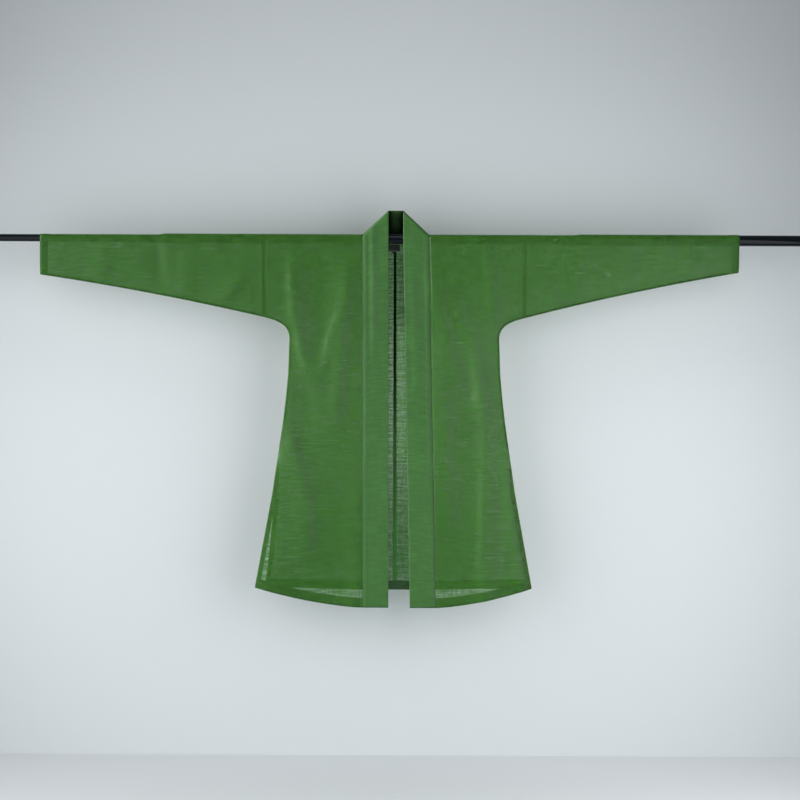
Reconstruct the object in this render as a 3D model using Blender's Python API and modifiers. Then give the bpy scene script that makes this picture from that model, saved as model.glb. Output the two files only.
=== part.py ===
"""A straight-collar hanfu jacket that hangs open on a telescopic rod, which runs through both sleeves.

Metres, +Z up. The origin lies on the rod's axis at the middle of the view. The jacket's front faces -Y,
and left and right are those of someone who looks at that front. A place on the cloth is given by its
reach, the distance outwards from the centre-back seam, and its drop, the distance below the rod's axis.
"""

import math
from collections import namedtuple

import bmesh
import bpy
import numpy as np
from mathutils import Vector

# Cloth and clearances
WALL = 0.001
GAP = 0.0003
CORNER_LIFT = 0.0006
ROUNDNESS = 0.0025

# Body
CENTRE_X = 0.002
SLEEVE_SEAM = 0.335
SEAM_DROP = 0.2023
UNDERARM = ((0.335, 0.2023), (0.300, 0.211), (0.2712, 0.222), (0.2705, 0.256))
SideRow = namedtuple("SideRow", "drop half_width")
SIDE_LINE = (
    SideRow(0.348, 0.2735),
    SideRow(0.409, 0.2790),
    SideRow(0.471, 0.2862),
    SideRow(0.657, 0.3130),
    SideRow(0.899, 0.3568),
)
HEM_SIDE = 0.899
HEM_FRONT = 0.949
HEM_BACK = 0.904
HEM_CURVE = 1.6
HEM_BLEND_FROM = 0.60
SLIT_TOP = 0.545
SLIT_SPREAD = 0.0055
SLIT_BLEND = 0.04
BACK_LEFT_SWING = 0.024

# The most that the front or the back hangs out from the middle plane. Below the rod they draw together,
# and they open again down to the hem
Hang = namedtuple("Hang", "drop limit")
HANG = (Hang(0.020, 0.0400), Hang(0.260, 0.0048), Hang(0.500, 0.0048), Hang(0.950, 0.0085))
HANG_SHARPNESS = 4
ARMHOLE_EASE = 0.06

# Collar band
BAND_WIDTH = 0.0665
COLLAR_RISE = 0.062
COLLAR_TIP_RADIUS = 0.009
BAND_ROD = 0.70
BAND_FOLD = 0.75
BAND_BACK = 1.6

# Facings, seam allowance and label
FRONT_HEM_FACING = 0.025
BACK_HEM_FACING = 0.023
SLIT_FACING = 0.012
SLIT_FACING_TOP = SLIT_TOP + SLIT_BLEND + 0.005
CUFF_FACING = 0.018
EDGE_INSET = 0.0005
BACK_SEAM_HALF = 0.004
BACK_SEAM_MARGIN = 0.002
BACK_SEAM_TOP = 0.033
LABEL_CENTRE_X = -0.0005
LABEL_WIDTH = 0.031
LABEL_TOP = 0.0125
LABEL_BOTTOM = 0.030

# Each side's own sizes: drift is how far the front edge moves out from the neck down to the hem
Side = namedtuple("Side", "name sign neck drift sleeve_end cuff_drop hollow rod_joint")
LEFT = Side("left", -1, 0.0825, -0.0036, 0.9135, 0.0947, 0.006, 0.592)
RIGHT = Side("right", 1, 0.0883, 0.0207, 0.8865, 0.0830, 0.006, 0.478)
SIDES = (LEFT, RIGHT)

# Mesh density
FLANK_STEPS = 8
UNDERARM_STEPS = 5
SEWN_STEPS = 5
SLIT_STEPS = 5
ROD_ARC_STEPS = 8
SIDE_COLUMNS = 10
SIDE_CROWDING = 2.2
SLEEVE_STEPS = 13
STATION_CLEARANCE = 0.012
BAND_COLUMNS = 3
FACING_STEPS = 8
ROD_SIDES = 24
NORMAL_STEP = 0.0004
TURN_STEP = 0.01

# Rod
ROD_RADIUS = {"left": 0.0095, "middle": 0.012, "right": 0.014}
ROD_START = -1.070
ROD_END = 1.100
ROD_OVERLAP = 0.060
CAP_DEPTH = 0.012
CAP_END = 0.006
CAP_WALL = 0.002
# A loop of flat cells stands this much further out than a round one, to clear the rod at their middles
LOOP_SLACK = 1 / math.cos(math.pi / 2 / ROD_ARC_STEPS)
BODY_LOOP = (ROD_RADIUS["middle"] + GAP + WALL) * LOOP_SLACK
LOOP_RAMP = 0.015
CUFF_RAMP = 0.010

# The largest folds. A positive depth stands out from the cloth and a negative one sinks in
Fold = namedtuple("Fold", "panel top_reach top_drop bottom_reach bottom_drop half_width depth")
FOLDS = (
    Fold("front_left", 0.262, 0.050, 0.178, 0.420, 0.022, 0.0030),
    Fold("front_left", 0.110, 0.030, 0.152, 0.540, 0.020, 0.0035),
    Fold("front_left", 0.276, 0.470, 0.228, 0.860, 0.028, 0.0030),
    Fold("front_left", 0.150, 0.480, 0.146, 1.300, 0.042, -0.0040),
    Fold("front_right", 0.099, 0.070, 0.186, 0.570, 0.022, 0.0035),
    Fold("front_right", 0.150, 0.120, 0.236, 0.460, 0.018, 0.0030),
    Fold("front_right", 0.138, 0.330, 0.150, 1.300, 0.030, 0.0040),
    Fold("front_right", 0.243, 0.550, 0.262, 1.300, 0.034, 0.0040),
    Fold("back_left", 0.120, 0.060, 0.168, 0.560, 0.026, 0.0030),
    Fold("back_left", 0.215, 0.260, 0.262, 1.300, 0.032, 0.0040),
    Fold("back_left", 0.060, 0.500, 0.072, 1.300, 0.034, -0.0035),
    Fold("back_right", 0.095, 0.050, 0.130, 0.500, 0.024, 0.0030),
    Fold("back_right", 0.190, 0.220, 0.214, 1.300, 0.030, 0.0040),
    Fold("back_right", 0.100, 0.500, 0.088, 1.300, 0.036, -0.0035),
    Fold("sleeve_left", 0.592, 0.020, 0.586, 0.150, 0.016, -0.0020),
    Fold("sleeve_left", 0.530, 0.020, 0.542, 0.160, 0.018, 0.0020),
    Fold("sleeve_right", 0.470, 0.020, 0.462, 0.170, 0.018, 0.0020),
    Fold("sleeve_right", 0.640, 0.020, 0.628, 0.130, 0.016, -0.0015),
)
FOLD_FADE = 0.25
FOLD_EDGE = 0.05

COLLECTION = "hanfu_jacket_on_rod"

# Material colours are linear, with roughness and metallic after them
Finish = namedtuple("Finish", "colour roughness metallic")
FINISHES = {
    "green_ramie": Finish((0.052, 0.137, 0.045), 0.75, 0.0),
    "green_ramie_doubled": Finish((0.038, 0.104, 0.032), 0.72, 0.0),
    "woven_label": Finish((0.045, 0.050, 0.050), 0.80, 0.0),
    "lacquered_steel": Finish((0.008, 0.009, 0.011), 0.25, 0.6),
    "black_plastic": Finish((0.012, 0.012, 0.013), 0.45, 0.0),
}


def smooth(share):
    """0 to 1, with level ends."""
    t = min(max(share, 0.0), 1.0)
    return t * t * (3 - 2 * t)


def bezier(points, t):
    (ax, ay), (bx, by), (cx, cy), (dx, dy) = points
    k = 1 - t
    weights = (k**3, 3 * k * k * t, 3 * k * t * t, t**3)
    x = weights[0] * ax + weights[1] * bx + weights[2] * cx + weights[3] * dx
    y = weights[0] * ay + weights[1] * by + weights[2] * cy + weights[3] * dy
    return x, y


UNDERARM_ROWS = [bezier(UNDERARM, i / UNDERARM_STEPS) for i in range(UNDERARM_STEPS + 1)]
SEWN_LINE = [*UNDERARM_ROWS, *((row.half_width, row.drop) for row in SIDE_LINE)]


def side_reach(drop):
    """The body's outline: the sleeve seam, the underarm curve, then the side line."""
    return float(np.interp(drop, [d for _, d in SEWN_LINE], [r for r, _ in SEWN_LINE]))


def swing(side, face, drop):
    """How far the left back's free edge hangs inside the front's below the slit's top."""
    if side is not LEFT or face < 0:
        return 0.0
    return BACK_LEFT_SWING * smooth((drop - SLIT_TOP) / (HEM_SIDE - SLIT_TOP))


def sewn_distance(reach, drop):
    """Distance to the nearest sewn edge: the underarm or the side line."""
    here = np.array((reach, drop))
    line = np.array(SEWN_LINE)
    start, step = line[:-1], line[1:] - line[:-1]
    along = ((here - start) * step).sum(1) / (step * step).sum(1)
    nearest = start + step * np.clip(along, 0, 1)[:, None]
    return float(np.sqrt(((here - nearest) ** 2).sum(1)).min())


def hanging_gap(distance, full_distance, loop):
    """Half the depth of a loop of cloth over the rod: a hanging chain's curve, closed at its sewn edge."""
    nearest = min(distance, full_distance)
    return loop * math.acosh(1 + nearest / ROUNDNESS) / math.acosh(1 + full_distance / ROUNDNESS)


def hang_limit(reach, drop):
    """The most that the front or the back hangs out here. At the armholes it leaves the sleeves' room."""
    limit = HANG[0].limit
    for upper, lower in zip(HANG[:-1], HANG[1:], strict=True):
        limit += (lower.limit - upper.limit) * smooth((drop - upper.drop) / (lower.drop - upper.drop))
    return limit + (HANG[0].limit - limit) * (1 - smooth((SLEEVE_SEAM - reach) / ARMHOLE_EASE))


def fold_depth(panel, reach, drop):
    depth = 0.0
    for fold in (row for row in FOLDS if row.panel == panel):
        share = (drop - fold.top_drop) / (fold.bottom_drop - fold.top_drop)
        middle = fold.top_reach + (fold.bottom_reach - fold.top_reach) * share
        ends = smooth(share / FOLD_FADE) * smooth((1 - share) / FOLD_FADE)
        depth += fold.depth * ends * math.exp(-(((reach - middle) / fold.half_width) ** 2))
    return depth


def body_point(side, face, reach, drop):
    """A point on the outer side of the front (face -1) or the back (face 1), below the rod's axis."""
    panel = ("front_" if face < 0 else "back_") + side.name
    distance = sewn_distance(reach + swing(side, face, drop), drop)
    gap = hanging_gap(distance, SEAM_DROP, BODY_LOOP)
    gap /= (1 + (gap / hang_limit(reach, drop)) ** HANG_SHARPNESS) ** (1 / HANG_SHARPNESS)
    gap += fold_depth(panel, reach, drop) * smooth(distance / FOLD_EDGE)
    spread = SLIT_SPREAD * smooth((drop - SLIT_TOP) / SLIT_BLEND)
    depth = GAP / 2 + math.hypot(gap, spread)
    return Vector((CENTRE_X + side.sign * reach, face * depth, -drop))


def inset_point(side, face, reach, drop, inwards):
    """A point of the body, moved off its outer side along the cloth's normal."""
    step = NORMAL_STEP
    along = body_point(side, face, reach - step, drop) - body_point(side, face, reach + step, drop)
    down = body_point(side, face, reach, drop + step) - body_point(side, face, reach, drop - step)
    normal = along.cross(down).normalized()
    if normal.y * face < 0:
        normal.negate()
    return body_point(side, face, reach, drop) - normal * inwards


def front_reach(side, drop):
    """The front's open edge, where the collar band is sewn on."""
    return side.neck + side.drift * drop / HEM_FRONT


def hem_drop(side, face, reach):
    """The hem's curve from the side corner to the middle."""
    if face < 0:
        inner, lowest = front_reach(side, HEM_FRONT), HEM_FRONT
    else:
        inner, lowest = 0.0, HEM_BACK
    share = min(max((reach - inner) / (side_reach(HEM_SIDE) - inner), 0.0), 1.0)
    return HEM_SIDE + (lowest - HEM_SIDE) * (1 - share**HEM_CURVE)


def centre_reaches(side):
    """Columns of the back between the neck's corner and the centre-back seam."""
    corner = (side.neck - BODY_LOOP / 3, side.neck - BODY_LOOP)
    return *corner, side.neck / 2, BACK_SEAM_HALF + BACK_SEAM_MARGIN, GAP / 2


def column_reach(side, face, drop, column):
    """A column of the body's grid: crowded towards the side, then, on the back, across to the centre."""
    if column > SIDE_COLUMNS:
        return centre_reaches(side)[column - SIDE_COLUMNS - 1]
    inner = GAP / 2 + (side.neck if face > 0 else front_reach(side, drop))
    outer = side_reach(drop) - swing(side, face, drop)
    return outer + (inner - outer) * (column / SIDE_COLUMNS) ** SIDE_CROWDING


def grid_place(side, face, level, column):
    """(reach, drop) of a column where it crosses a level, which follows the hem's curve as it nears it."""
    blend = max(level - HEM_BLEND_FROM, 0) / (HEM_SIDE - HEM_BLEND_FROM)
    drop = level
    for _ in range(3):
        reach = column_reach(side, face, drop, column)
        drop = level + (hem_drop(side, face, reach) - HEM_SIDE) * blend
    return reach, drop


def make_material(name):
    finish = FINISHES[name]
    material = bpy.data.materials.new(name)
    material.use_nodes = True
    surface = material.node_tree.nodes["Principled BSDF"]
    surface.inputs["Base Color"].default_value = (*finish.colour, 1)
    surface.inputs["Roughness"].default_value = finish.roughness
    surface.inputs["Metallic"].default_value = finish.metallic
    material.diffuse_color = (*finish.colour, 1)
    return material


def add_object(name, mesh, finish):
    item = bpy.data.objects.new(name, mesh)
    bpy.data.collections[COLLECTION].objects.link(item)
    mesh.materials.append(bpy.data.materials[finish])
    mesh.shade_smooth()
    mesh.set_sharp_from_angle(angle=math.radians(40))
    return item


def away_from_middle(centre):
    """Out of the jacket: to the front or the back, and up above the rod."""
    return Vector((0, centre.y, max(centre.z, 0)))


def cloth(name, finish, rows, columns, place, keep=None, ring=False):
    """A cloth wall: place(row, column) gives its outer side, and its thickness lies inside.

    keep(row, column) says which cells of the grid are cloth. A ring joins the last column to the first.
    """
    bm = bmesh.new()
    bmesh.ops.create_grid(bm, x_segments=columns, y_segments=rows, size=0.5)
    cell = {}
    for vert in bm.verts:
        cell[vert] = (round((vert.co.y + 0.5) * rows), round((vert.co.x + 0.5) * columns))
    if keep:
        gone = [f for f in bm.faces if not keep(*(min(cell[v][k] for v in f.verts) for k in (0, 1)))]
        bmesh.ops.delete(bm, geom=gone, context="FACES")
    for vert in bm.verts:
        vert.co = place(*cell[vert])
    if ring:
        bmesh.ops.remove_doubles(bm, verts=bm.verts, dist=1e-6)
    bm.normal_update()
    if sum(f.normal.dot(away_from_middle(f.calc_center_median())) for f in bm.faces) < 0:
        bmesh.ops.reverse_faces(bm, faces=bm.faces)
    mesh = bpy.data.meshes.new(name)
    bm.to_mesh(mesh)
    bm.free()
    item = add_object(name, mesh, finish)
    wall = item.modifiers.new("wall", "SOLIDIFY")
    wall.thickness = WALL
    wall.offset = -1
    return item


def body_levels():
    """Drops of the body's rows from below the rod to the hem's corners."""
    turn = math.acosh(1 + SEAM_DROP / ROUNDNESS)
    heights = [ROUNDNESS * (math.cosh(turn * k / FLANK_STEPS) - 1) for k in range(FLANK_STEPS)]
    levels = [SEAM_DROP - height for height in reversed(heights)]
    levels = [levels[0] / 2, *levels]
    levels += [drop for _, drop in UNDERARM_ROWS[1:]]
    sewn_top = levels[-1]
    levels += [sewn_top + (SLIT_TOP - sewn_top) * k / SEWN_STEPS for k in range(1, SEWN_STEPS + 1)]
    slit_full = SLIT_TOP + SLIT_BLEND
    levels += [slit_full + (HEM_SIDE - slit_full) * k / SLIT_STEPS for k in range(SLIT_STEPS + 1)]
    return levels


def body_rows():
    """(face, angle over the rod, level) for each row, from the front hem over the rod to the back hem."""
    levels = body_levels()
    front = [(-1, 0.0, level) for level in reversed(levels)]
    over = [(0, math.pi * k / ROD_ARC_STEPS, 0.0) for k in range(ROD_ARC_STEPS + 1)]
    back = [(1, 0.0, level) for level in levels]
    return [*front, *over, *back]


def over_rod_point(side, angle, column):
    """A point of the body over the rod, where the middle of the back rises straight to the neck seam."""
    y, z = -math.cos(angle), math.sin(angle)
    reach = column_reach(side, 0, 0.0, column)
    if column > SIDE_COLUMNS:
        share = min((side.neck - reach) / BODY_LOOP, 1.0)
        upright = math.sqrt(1 - (1 - share) ** 2)
        y = (1 - upright) * y + upright
        z = (1 - upright) * z + upright * (math.pi - angle) / (math.pi / 2)
    return Vector((CENTRE_X + side.sign * reach, (BODY_LOOP + GAP / 2) * y, BODY_LOOP * z))


def make_body(side):
    rows = body_rows()
    neck_row = next(i for i, row in enumerate(rows) if row[0] == 0) + ROD_ARC_STEPS // 2

    def place(row, column):
        face, angle, level = rows[row]
        if face == 0:
            return over_rod_point(side, angle, column)
        return body_point(side, face, *grid_place(side, face, level, column))

    def keep(row, column):
        return column < SIDE_COLUMNS or row >= neck_row

    columns = SIDE_COLUMNS + len(centre_reaches(side))
    cloth("body_" + side.name, "green_ramie", len(rows) - 1, columns, place, keep)


def sleeve_drop(side, reach):
    """The sleeve's underside, from the cuff to the body, a little hollow between them."""
    share = (reach - SLEEVE_SEAM) / (side.sleeve_end - SLEEVE_SEAM)
    straight = SEAM_DROP + (side.cuff_drop - SEAM_DROP) * share
    return straight - side.hollow * 4 * share * (1 - share)


def sleeve_loop(side, reach):
    """The radius of the sleeve's outer side over the rod, with room for the cuff facing at its end."""
    inner = ROD_RADIUS["middle"]
    outer = ROD_RADIUS[side.name]
    ramp_start = side.rod_joint if outer < inner else side.rod_joint - LOOP_RAMP
    radius = inner + (outer - inner) * smooth((reach - ramp_start) / LOOP_RAMP)
    cuff_start = side.sleeve_end - CUFF_FACING - 2 * EDGE_INSET
    cuff = (WALL + GAP) * smooth((reach - cuff_start + CUFF_RAMP) / CUFF_RAMP)
    return (radius + GAP + WALL + cuff) * LOOP_SLACK


def sleeve_point(side, reach, turn):
    """A point of the sleeve's outer side. turn runs from 0 below, over the rod, to 1 below again."""
    loop = sleeve_loop(side, reach)
    drop = sleeve_drop(side, reach)
    face = -1 if turn < 0.5 else 1
    steps = abs(turn - 0.5) * (2 * FLANK_STEPS + ROD_ARC_STEPS)
    if steps <= ROD_ARC_STEPS / 2:
        angle = math.pi / 2 + face * steps * math.pi / ROD_ARC_STEPS
        y, z = -loop * math.cos(angle), loop * math.sin(angle)
        return Vector((CENTRE_X + side.sign * reach, y, z))
    share = 1 - (steps - ROD_ARC_STEPS / 2) / FLANK_STEPS
    height = ROUNDNESS * (math.cosh(math.acosh(1 + drop / ROUNDNESS) * share) - 1)
    y = loop * share
    y += fold_depth("sleeve_" + side.name, reach, drop - height) * smooth(height / FOLD_EDGE)
    return Vector((CENTRE_X + side.sign * reach, face * y, height - drop))


def inset_sleeve_point(side, reach, turn, inwards):
    step = TURN_STEP
    around = sleeve_point(side, reach, (turn + step) % 1) - sleeve_point(side, reach, (turn - step) % 1)
    normal = around.cross(Vector((1, 0, 0))).normalized()
    here = sleeve_point(side, reach, turn)
    if normal.dot(Vector((0, here.y, here.z + sleeve_drop(side, reach) / 2))) < 0:
        normal.negate()
    return here - normal * inwards


def sleeve_stations(side):
    """Reaches of the sleeve's sections: even, with more where the rod's size changes and at the cuff."""
    start, end = SLEEVE_SEAM + GAP, side.sleeve_end
    even = [start + (end - start) * k / SLEEVE_STEPS for k in range(SLEEVE_STEPS + 1)]
    joint = [side.rod_joint - LOOP_RAMP, side.rod_joint, side.rod_joint + LOOP_RAMP]
    cuff = end - CUFF_FACING - 2 * EDGE_INSET
    extra = [*joint, cuff - CUFF_RAMP, cuff]
    clear = [r for r in even if min(abs(r - e) for e in extra) > STATION_CLEARANCE]
    return sorted([*clear, *extra])


def make_sleeve(side):
    stations = sleeve_stations(side)
    around = 2 * FLANK_STEPS + ROD_ARC_STEPS

    def place(row, column):
        return sleeve_point(side, stations[row], column / around % 1)

    cloth("sleeve_" + side.name, "green_ramie", len(stations) - 1, around, place, ring=True)


def make_cuff_facing(side):
    end = side.sleeve_end - EDGE_INSET
    stations = [end - CUFF_FACING, end]
    around = 2 * FLANK_STEPS + ROD_ARC_STEPS

    def place(row, column):
        return inset_sleeve_point(side, stations[row], column / around % 1, WALL + GAP)

    cloth("cuff_facing_" + side.name, "green_ramie_doubled", 1, around, place, ring=True)


def band_lean(height):
    """Half the collar's depth above the rod, from the rod's own loop in to the folded tip."""
    share = min(max((height - BODY_LOOP) / COLLAR_RISE, 0.0), 1.0)
    return BODY_LOOP + (COLLAR_TIP_RADIUS - BODY_LOOP) * share


def band_point(side, station, across):
    """A point of the collar band's outer side.

    station runs from 0 at the front hem, past BAND_ROD over the rod and BAND_FOLD where the strip starts
    to turn, to 1 at the shoulder's fold and 2 at the centre back. across runs from 0 at the seam to 1 at
    the free edge. The strip turns from upright to level along a slanting fold.
    """
    width = BAND_WIDTH * across
    fold_height = BODY_LOOP + GAP / 2 + CORNER_LIFT * (1 - across) + COLLAR_RISE * across
    radius = band_lean(fold_height)
    turned = min(abs(1 - station) / (1 - BAND_FOLD), 1.0) * math.pi / 2
    turned_in = radius * (1 - math.cos(turned))
    if station > 1:
        reach = side.neck - GAP / 2 - width - turned_in
        reach *= 1 - max(station - 2 + BAND_FOLD, 0) / BAND_FOLD
        depth = (radius + GAP / 2) * math.sin(turned)
        return Vector((CENTRE_X + side.sign * reach, depth, fold_height))
    height = fold_height - turned_in
    over_rod = min(BODY_LOOP, height - COLLAR_TIP_RADIUS)
    if station < BAND_ROD:
        height = -HEM_FRONT + (over_rod + HEM_FRONT) * station / BAND_ROD
    elif station < BAND_FOLD:
        height = over_rod
    reach = front_reach(side, max(-height, 0)) - GAP / 2 - width
    if height < 0:
        depth = -body_point(side, -1, reach, -height).y
    else:
        depth = band_lean(height) + GAP / 2
    return Vector((CENTRE_X + side.sign * reach, -depth * math.sin(turned), height))


def band_stations():
    """(side, station) along the whole strip, from the left hem round the neck to the right hem."""
    front = [BAND_ROD * (1 - level / HEM_FRONT) for level in (0.0, *body_levels()[:-1], HEM_FRONT)]
    front.reverse()
    fold = [BAND_FOLD + 2 * (1 - BAND_FOLD) * k / ROD_ARC_STEPS for k in range(ROD_ARC_STEPS + 1)]
    line = [*front, *fold, BAND_BACK]
    return [*((LEFT, s) for s in line), (LEFT, 2.0), *((RIGHT, s) for s in reversed(line))]


def make_collar_band():
    stations = band_stations()

    def place(row, column):
        side, station = stations[row]
        return band_point(side, station, column / BAND_COLUMNS)

    cloth("collar_band", "green_ramie_doubled", len(stations) - 1, BAND_COLUMNS, place)


def make_hem_facing(name, sides, face, depth):
    """A strip inside the hem of one front, or of the whole back from left to right."""
    last = SIDE_COLUMNS if face < 0 else SIDE_COLUMNS + len(centre_reaches(LEFT))
    line = [(side, column) for side in sides for column in range(last + 1)]
    if len(sides) > 1:
        line[last + 1 :] = reversed(line[last + 1 :])
        line[last : last + 2] = [(sides[0], None)]

    def place(row, column):
        side, grid_column = line[column]
        if grid_column is None:
            reach, drop = 0.0, HEM_BACK - depth * row
            return inset_point(side, face, reach, drop, WALL + GAP)
        _, bottom = grid_place(side, face, HEM_SIDE, grid_column)
        drop = bottom - depth * row
        reach = column_reach(side, face, drop, grid_column)
        if grid_column == 0:
            reach -= EDGE_INSET
        return inset_point(side, face, reach, drop, WALL + GAP)

    cloth(name, "green_ramie_doubled", 1, len(line) - 1, place)


def make_slit_facing(side, face):
    """A strip inside a free side edge, from below the slit's top to the hem facing."""
    depth = FRONT_HEM_FACING if face < 0 else BACK_HEM_FACING
    insets = (EDGE_INSET, SLIT_FACING / 2, SLIT_FACING)

    def place(row, column):
        bottom = hem_drop(side, face, side_reach(HEM_SIDE) - insets[column]) - depth - GAP
        drop = SLIT_FACING_TOP + (bottom - SLIT_FACING_TOP) * row / FACING_STEPS
        reach = side_reach(drop) - swing(side, face, drop) - insets[column]
        return inset_point(side, face, reach, drop, WALL + GAP)

    name = ("slit_facing_front_" if face < 0 else "slit_facing_back_") + side.name
    cloth(name, "green_ramie_doubled", FACING_STEPS, len(insets) - 1, place)


def make_centre_back_seam():
    """The back's two seam allowances, pressed flat inside the jacket. Their rows are the body's."""
    bottom = HEM_BACK - BACK_HEM_FACING - GAP
    drops = [BACK_SEAM_TOP, *(d for d in body_levels() if BACK_SEAM_TOP < d < bottom), bottom]
    strip = ((LEFT, BACK_SEAM_HALF), (LEFT, 0.0), (RIGHT, BACK_SEAM_HALF))

    def place(row, column):
        side, reach = strip[column]
        return inset_point(side, 1, reach, drops[row], WALL + GAP)

    cloth("centre_back_seam", "green_ramie_doubled", len(drops) - 1, len(strip) - 1, place)


def make_neck_label():
    back = BODY_LOOP + GAP / 2 - WALL - GAP
    bm = bmesh.new()
    bmesh.ops.create_cube(bm, size=1.0)
    size = Vector((LABEL_WIDTH, WALL, LABEL_BOTTOM - LABEL_TOP))
    middle = Vector((LABEL_CENTRE_X, back - WALL / 2, -(LABEL_TOP + LABEL_BOTTOM) / 2))
    for vert in bm.verts:
        vert.co = middle + Vector(a * b for a, b in zip(vert.co, size, strict=True))
    mesh = bpy.data.meshes.new("neck_label")
    bm.to_mesh(mesh)
    bm.free()
    add_object("neck_label", mesh, "woven_label")


def turned_piece(name, finish, profile):
    """A solid turned about the X axis from (x, radius) points, from the low x end round to the high one."""
    mesh = bpy.data.meshes.new(name)
    points = [(radius, 0, x) for x, radius in reversed(profile)]
    edges = [(k, k + 1) for k in range(len(points) - 1)]
    mesh.from_pydata(points, edges, [])
    item = add_object(name, mesh, finish)
    item.rotation_euler = (0, math.pi / 2, 0)
    turn = item.modifiers.new("turn", "SCREW")
    turn.steps = ROD_SIDES
    turn.render_steps = ROD_SIDES
    turn.use_merge_vertices = True
    turn.merge_threshold = 0.00001
    return item


def make_rod():
    """Three bars, each pushed into a socket in the thicker one beside it, with a cap on each outer end."""
    thin, middle, thick = (ROD_RADIUS[name] for name in ("left", "middle", "right"))
    left_joint = CENTRE_X - LEFT.rod_joint
    right_joint = CENTRE_X + RIGHT.rod_joint
    left_end = left_joint + ROD_OVERLAP
    middle_end = right_joint + ROD_OVERLAP
    bar = [(ROD_START, 0), (ROD_START, thin), (left_end, thin), (left_end, 0)]
    turned_piece("rod_left", "lacquered_steel", bar)
    socket = [(left_end + GAP, 0), (left_end + GAP, thin + GAP), (left_joint, thin + GAP)]
    bar = [(left_joint, middle), (middle_end, middle), (middle_end, 0)]
    turned_piece("rod_middle", "lacquered_steel", [*socket, *bar])
    socket = [(middle_end + GAP, 0), (middle_end + GAP, middle + GAP), (right_joint, middle + GAP)]
    bar = [(right_joint, thick), (ROD_END, thick), (ROD_END, 0)]
    turned_piece("rod_right", "lacquered_steel", [*socket, *bar])
    make_cap("rod_cap_left", ROD_START, -1, thin)
    make_cap("rod_cap_right", ROD_END, 1, thick)


def make_cap(name, rod_end, sign, radius):
    """A plain cup over a rod's end, with a small round on its outer rim."""
    outside = radius + GAP + CAP_WALL
    tip = rod_end + sign * CAP_END
    rim = rod_end - sign * CAP_DEPTH
    bevel = CAP_WALL / 2
    profile = [
        (rod_end + sign * GAP, 0),
        (rod_end + sign * GAP, radius + GAP),
        (rim, radius + GAP),
        (rim, outside),
        (tip - sign * bevel, outside),
        (tip, outside - bevel),
        (tip, 0),
    ]
    turned_piece(name, "black_plastic", profile if sign > 0 else list(reversed(profile)))


def clear_scene():
    for item in list(bpy.data.objects):
        bpy.data.objects.remove(item, do_unlink=True)


def main():
    clear_scene()
    bpy.context.scene.collection.children.link(bpy.data.collections.new(COLLECTION))
    for name in FINISHES:
        make_material(name)
    for side in SIDES:
        make_body(side)
        make_sleeve(side)
        make_cuff_facing(side)
        make_hem_facing("front_hem_facing_" + side.name, (side,), -1, FRONT_HEM_FACING)
        make_slit_facing(side, -1)
        make_slit_facing(side, 1)
    make_hem_facing("back_hem_facing", (LEFT, RIGHT), 1, BACK_HEM_FACING)
    make_centre_back_seam()
    make_collar_band()
    make_neck_label()
    make_rod()


main()
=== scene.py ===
"""A straight-collar hanfu jacket of thin green ramie, hanging open on a black telescopic rod.

Metres, +Z up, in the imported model's frame: the origin is on the rod's axis at the middle of the jacket's
neck, and the jacket's front faces -Y. Left and right are those of someone who looks at that front. A place
on the cloth is given by its reach, the distance outwards from the centre-back seam, and its drop, the
distance below the rod's axis.
"""

import math
from collections import namedtuple

import bmesh
import bpy
import numpy as np
from mathutils import Matrix, Vector


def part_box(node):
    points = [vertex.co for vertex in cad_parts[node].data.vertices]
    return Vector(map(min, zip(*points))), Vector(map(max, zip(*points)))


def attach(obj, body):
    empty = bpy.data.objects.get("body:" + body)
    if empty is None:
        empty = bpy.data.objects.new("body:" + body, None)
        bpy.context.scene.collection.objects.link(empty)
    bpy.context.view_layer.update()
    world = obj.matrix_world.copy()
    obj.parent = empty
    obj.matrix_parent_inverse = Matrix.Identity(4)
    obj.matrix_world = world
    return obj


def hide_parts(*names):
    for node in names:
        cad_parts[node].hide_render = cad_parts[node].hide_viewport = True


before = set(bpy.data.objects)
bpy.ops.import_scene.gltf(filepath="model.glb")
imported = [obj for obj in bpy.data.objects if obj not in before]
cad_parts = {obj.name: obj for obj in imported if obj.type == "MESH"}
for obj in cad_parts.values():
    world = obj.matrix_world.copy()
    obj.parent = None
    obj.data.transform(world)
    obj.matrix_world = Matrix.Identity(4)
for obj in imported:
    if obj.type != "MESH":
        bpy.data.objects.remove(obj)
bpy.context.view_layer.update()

# The stage, which is not part of the object. The camera looks square at a pale wall, close behind the
# jacket, and is rolled as little as the photograph. Two wide soft lamps stand low at the sides, so that the
# wall is brightest there. Smaller ones light the rod from above, the cloth from behind and the wall itself.
VIEW_WIDTH = 2.063
VIEW_DISTANCE = 5.0
VIEW_CENTRE_X = 0.0173
VIEW_CENTRE_Z = -0.4143
VIEW_ROLL = math.radians(0.25)
WALL_Y = 0.16
FLOOR_Z = -1.36
STAGE_SIZE = 9.0
WALL_PAINT = "#dde2e4"
FLOOR_PAINT = "#d6d9db"
ROOM_LIGHT = "#f4faff"
ROOM_STRENGTH = 0.28


def linear(hex_colour):
    """An sRGB hex colour as linear red, green and blue, with a full alpha."""
    shares = [int(hex_colour[k : k + 2], 16) / 255 for k in (1, 3, 5)]
    return (*(c / 12.92 if c <= 0.04045 else ((c + 0.055) / 1.055) ** 2.4 for c in shares), 1.0)


def add_node(tree, kind, inputs=None, **settings):
    """Adds a node with its settings. Each input is a value, or an output or a node that is linked to it."""
    node = tree.nodes.new(kind)
    for name, value in settings.items():
        setattr(node, name, value)
    for name, value in (inputs or {}).items():
        source = value.outputs[0] if isinstance(value, bpy.types.Node) else value
        if isinstance(source, bpy.types.NodeSocket):
            tree.links.new(source, node.inputs[name])
        else:
            node.inputs[name].default_value = source
    return node


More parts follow.
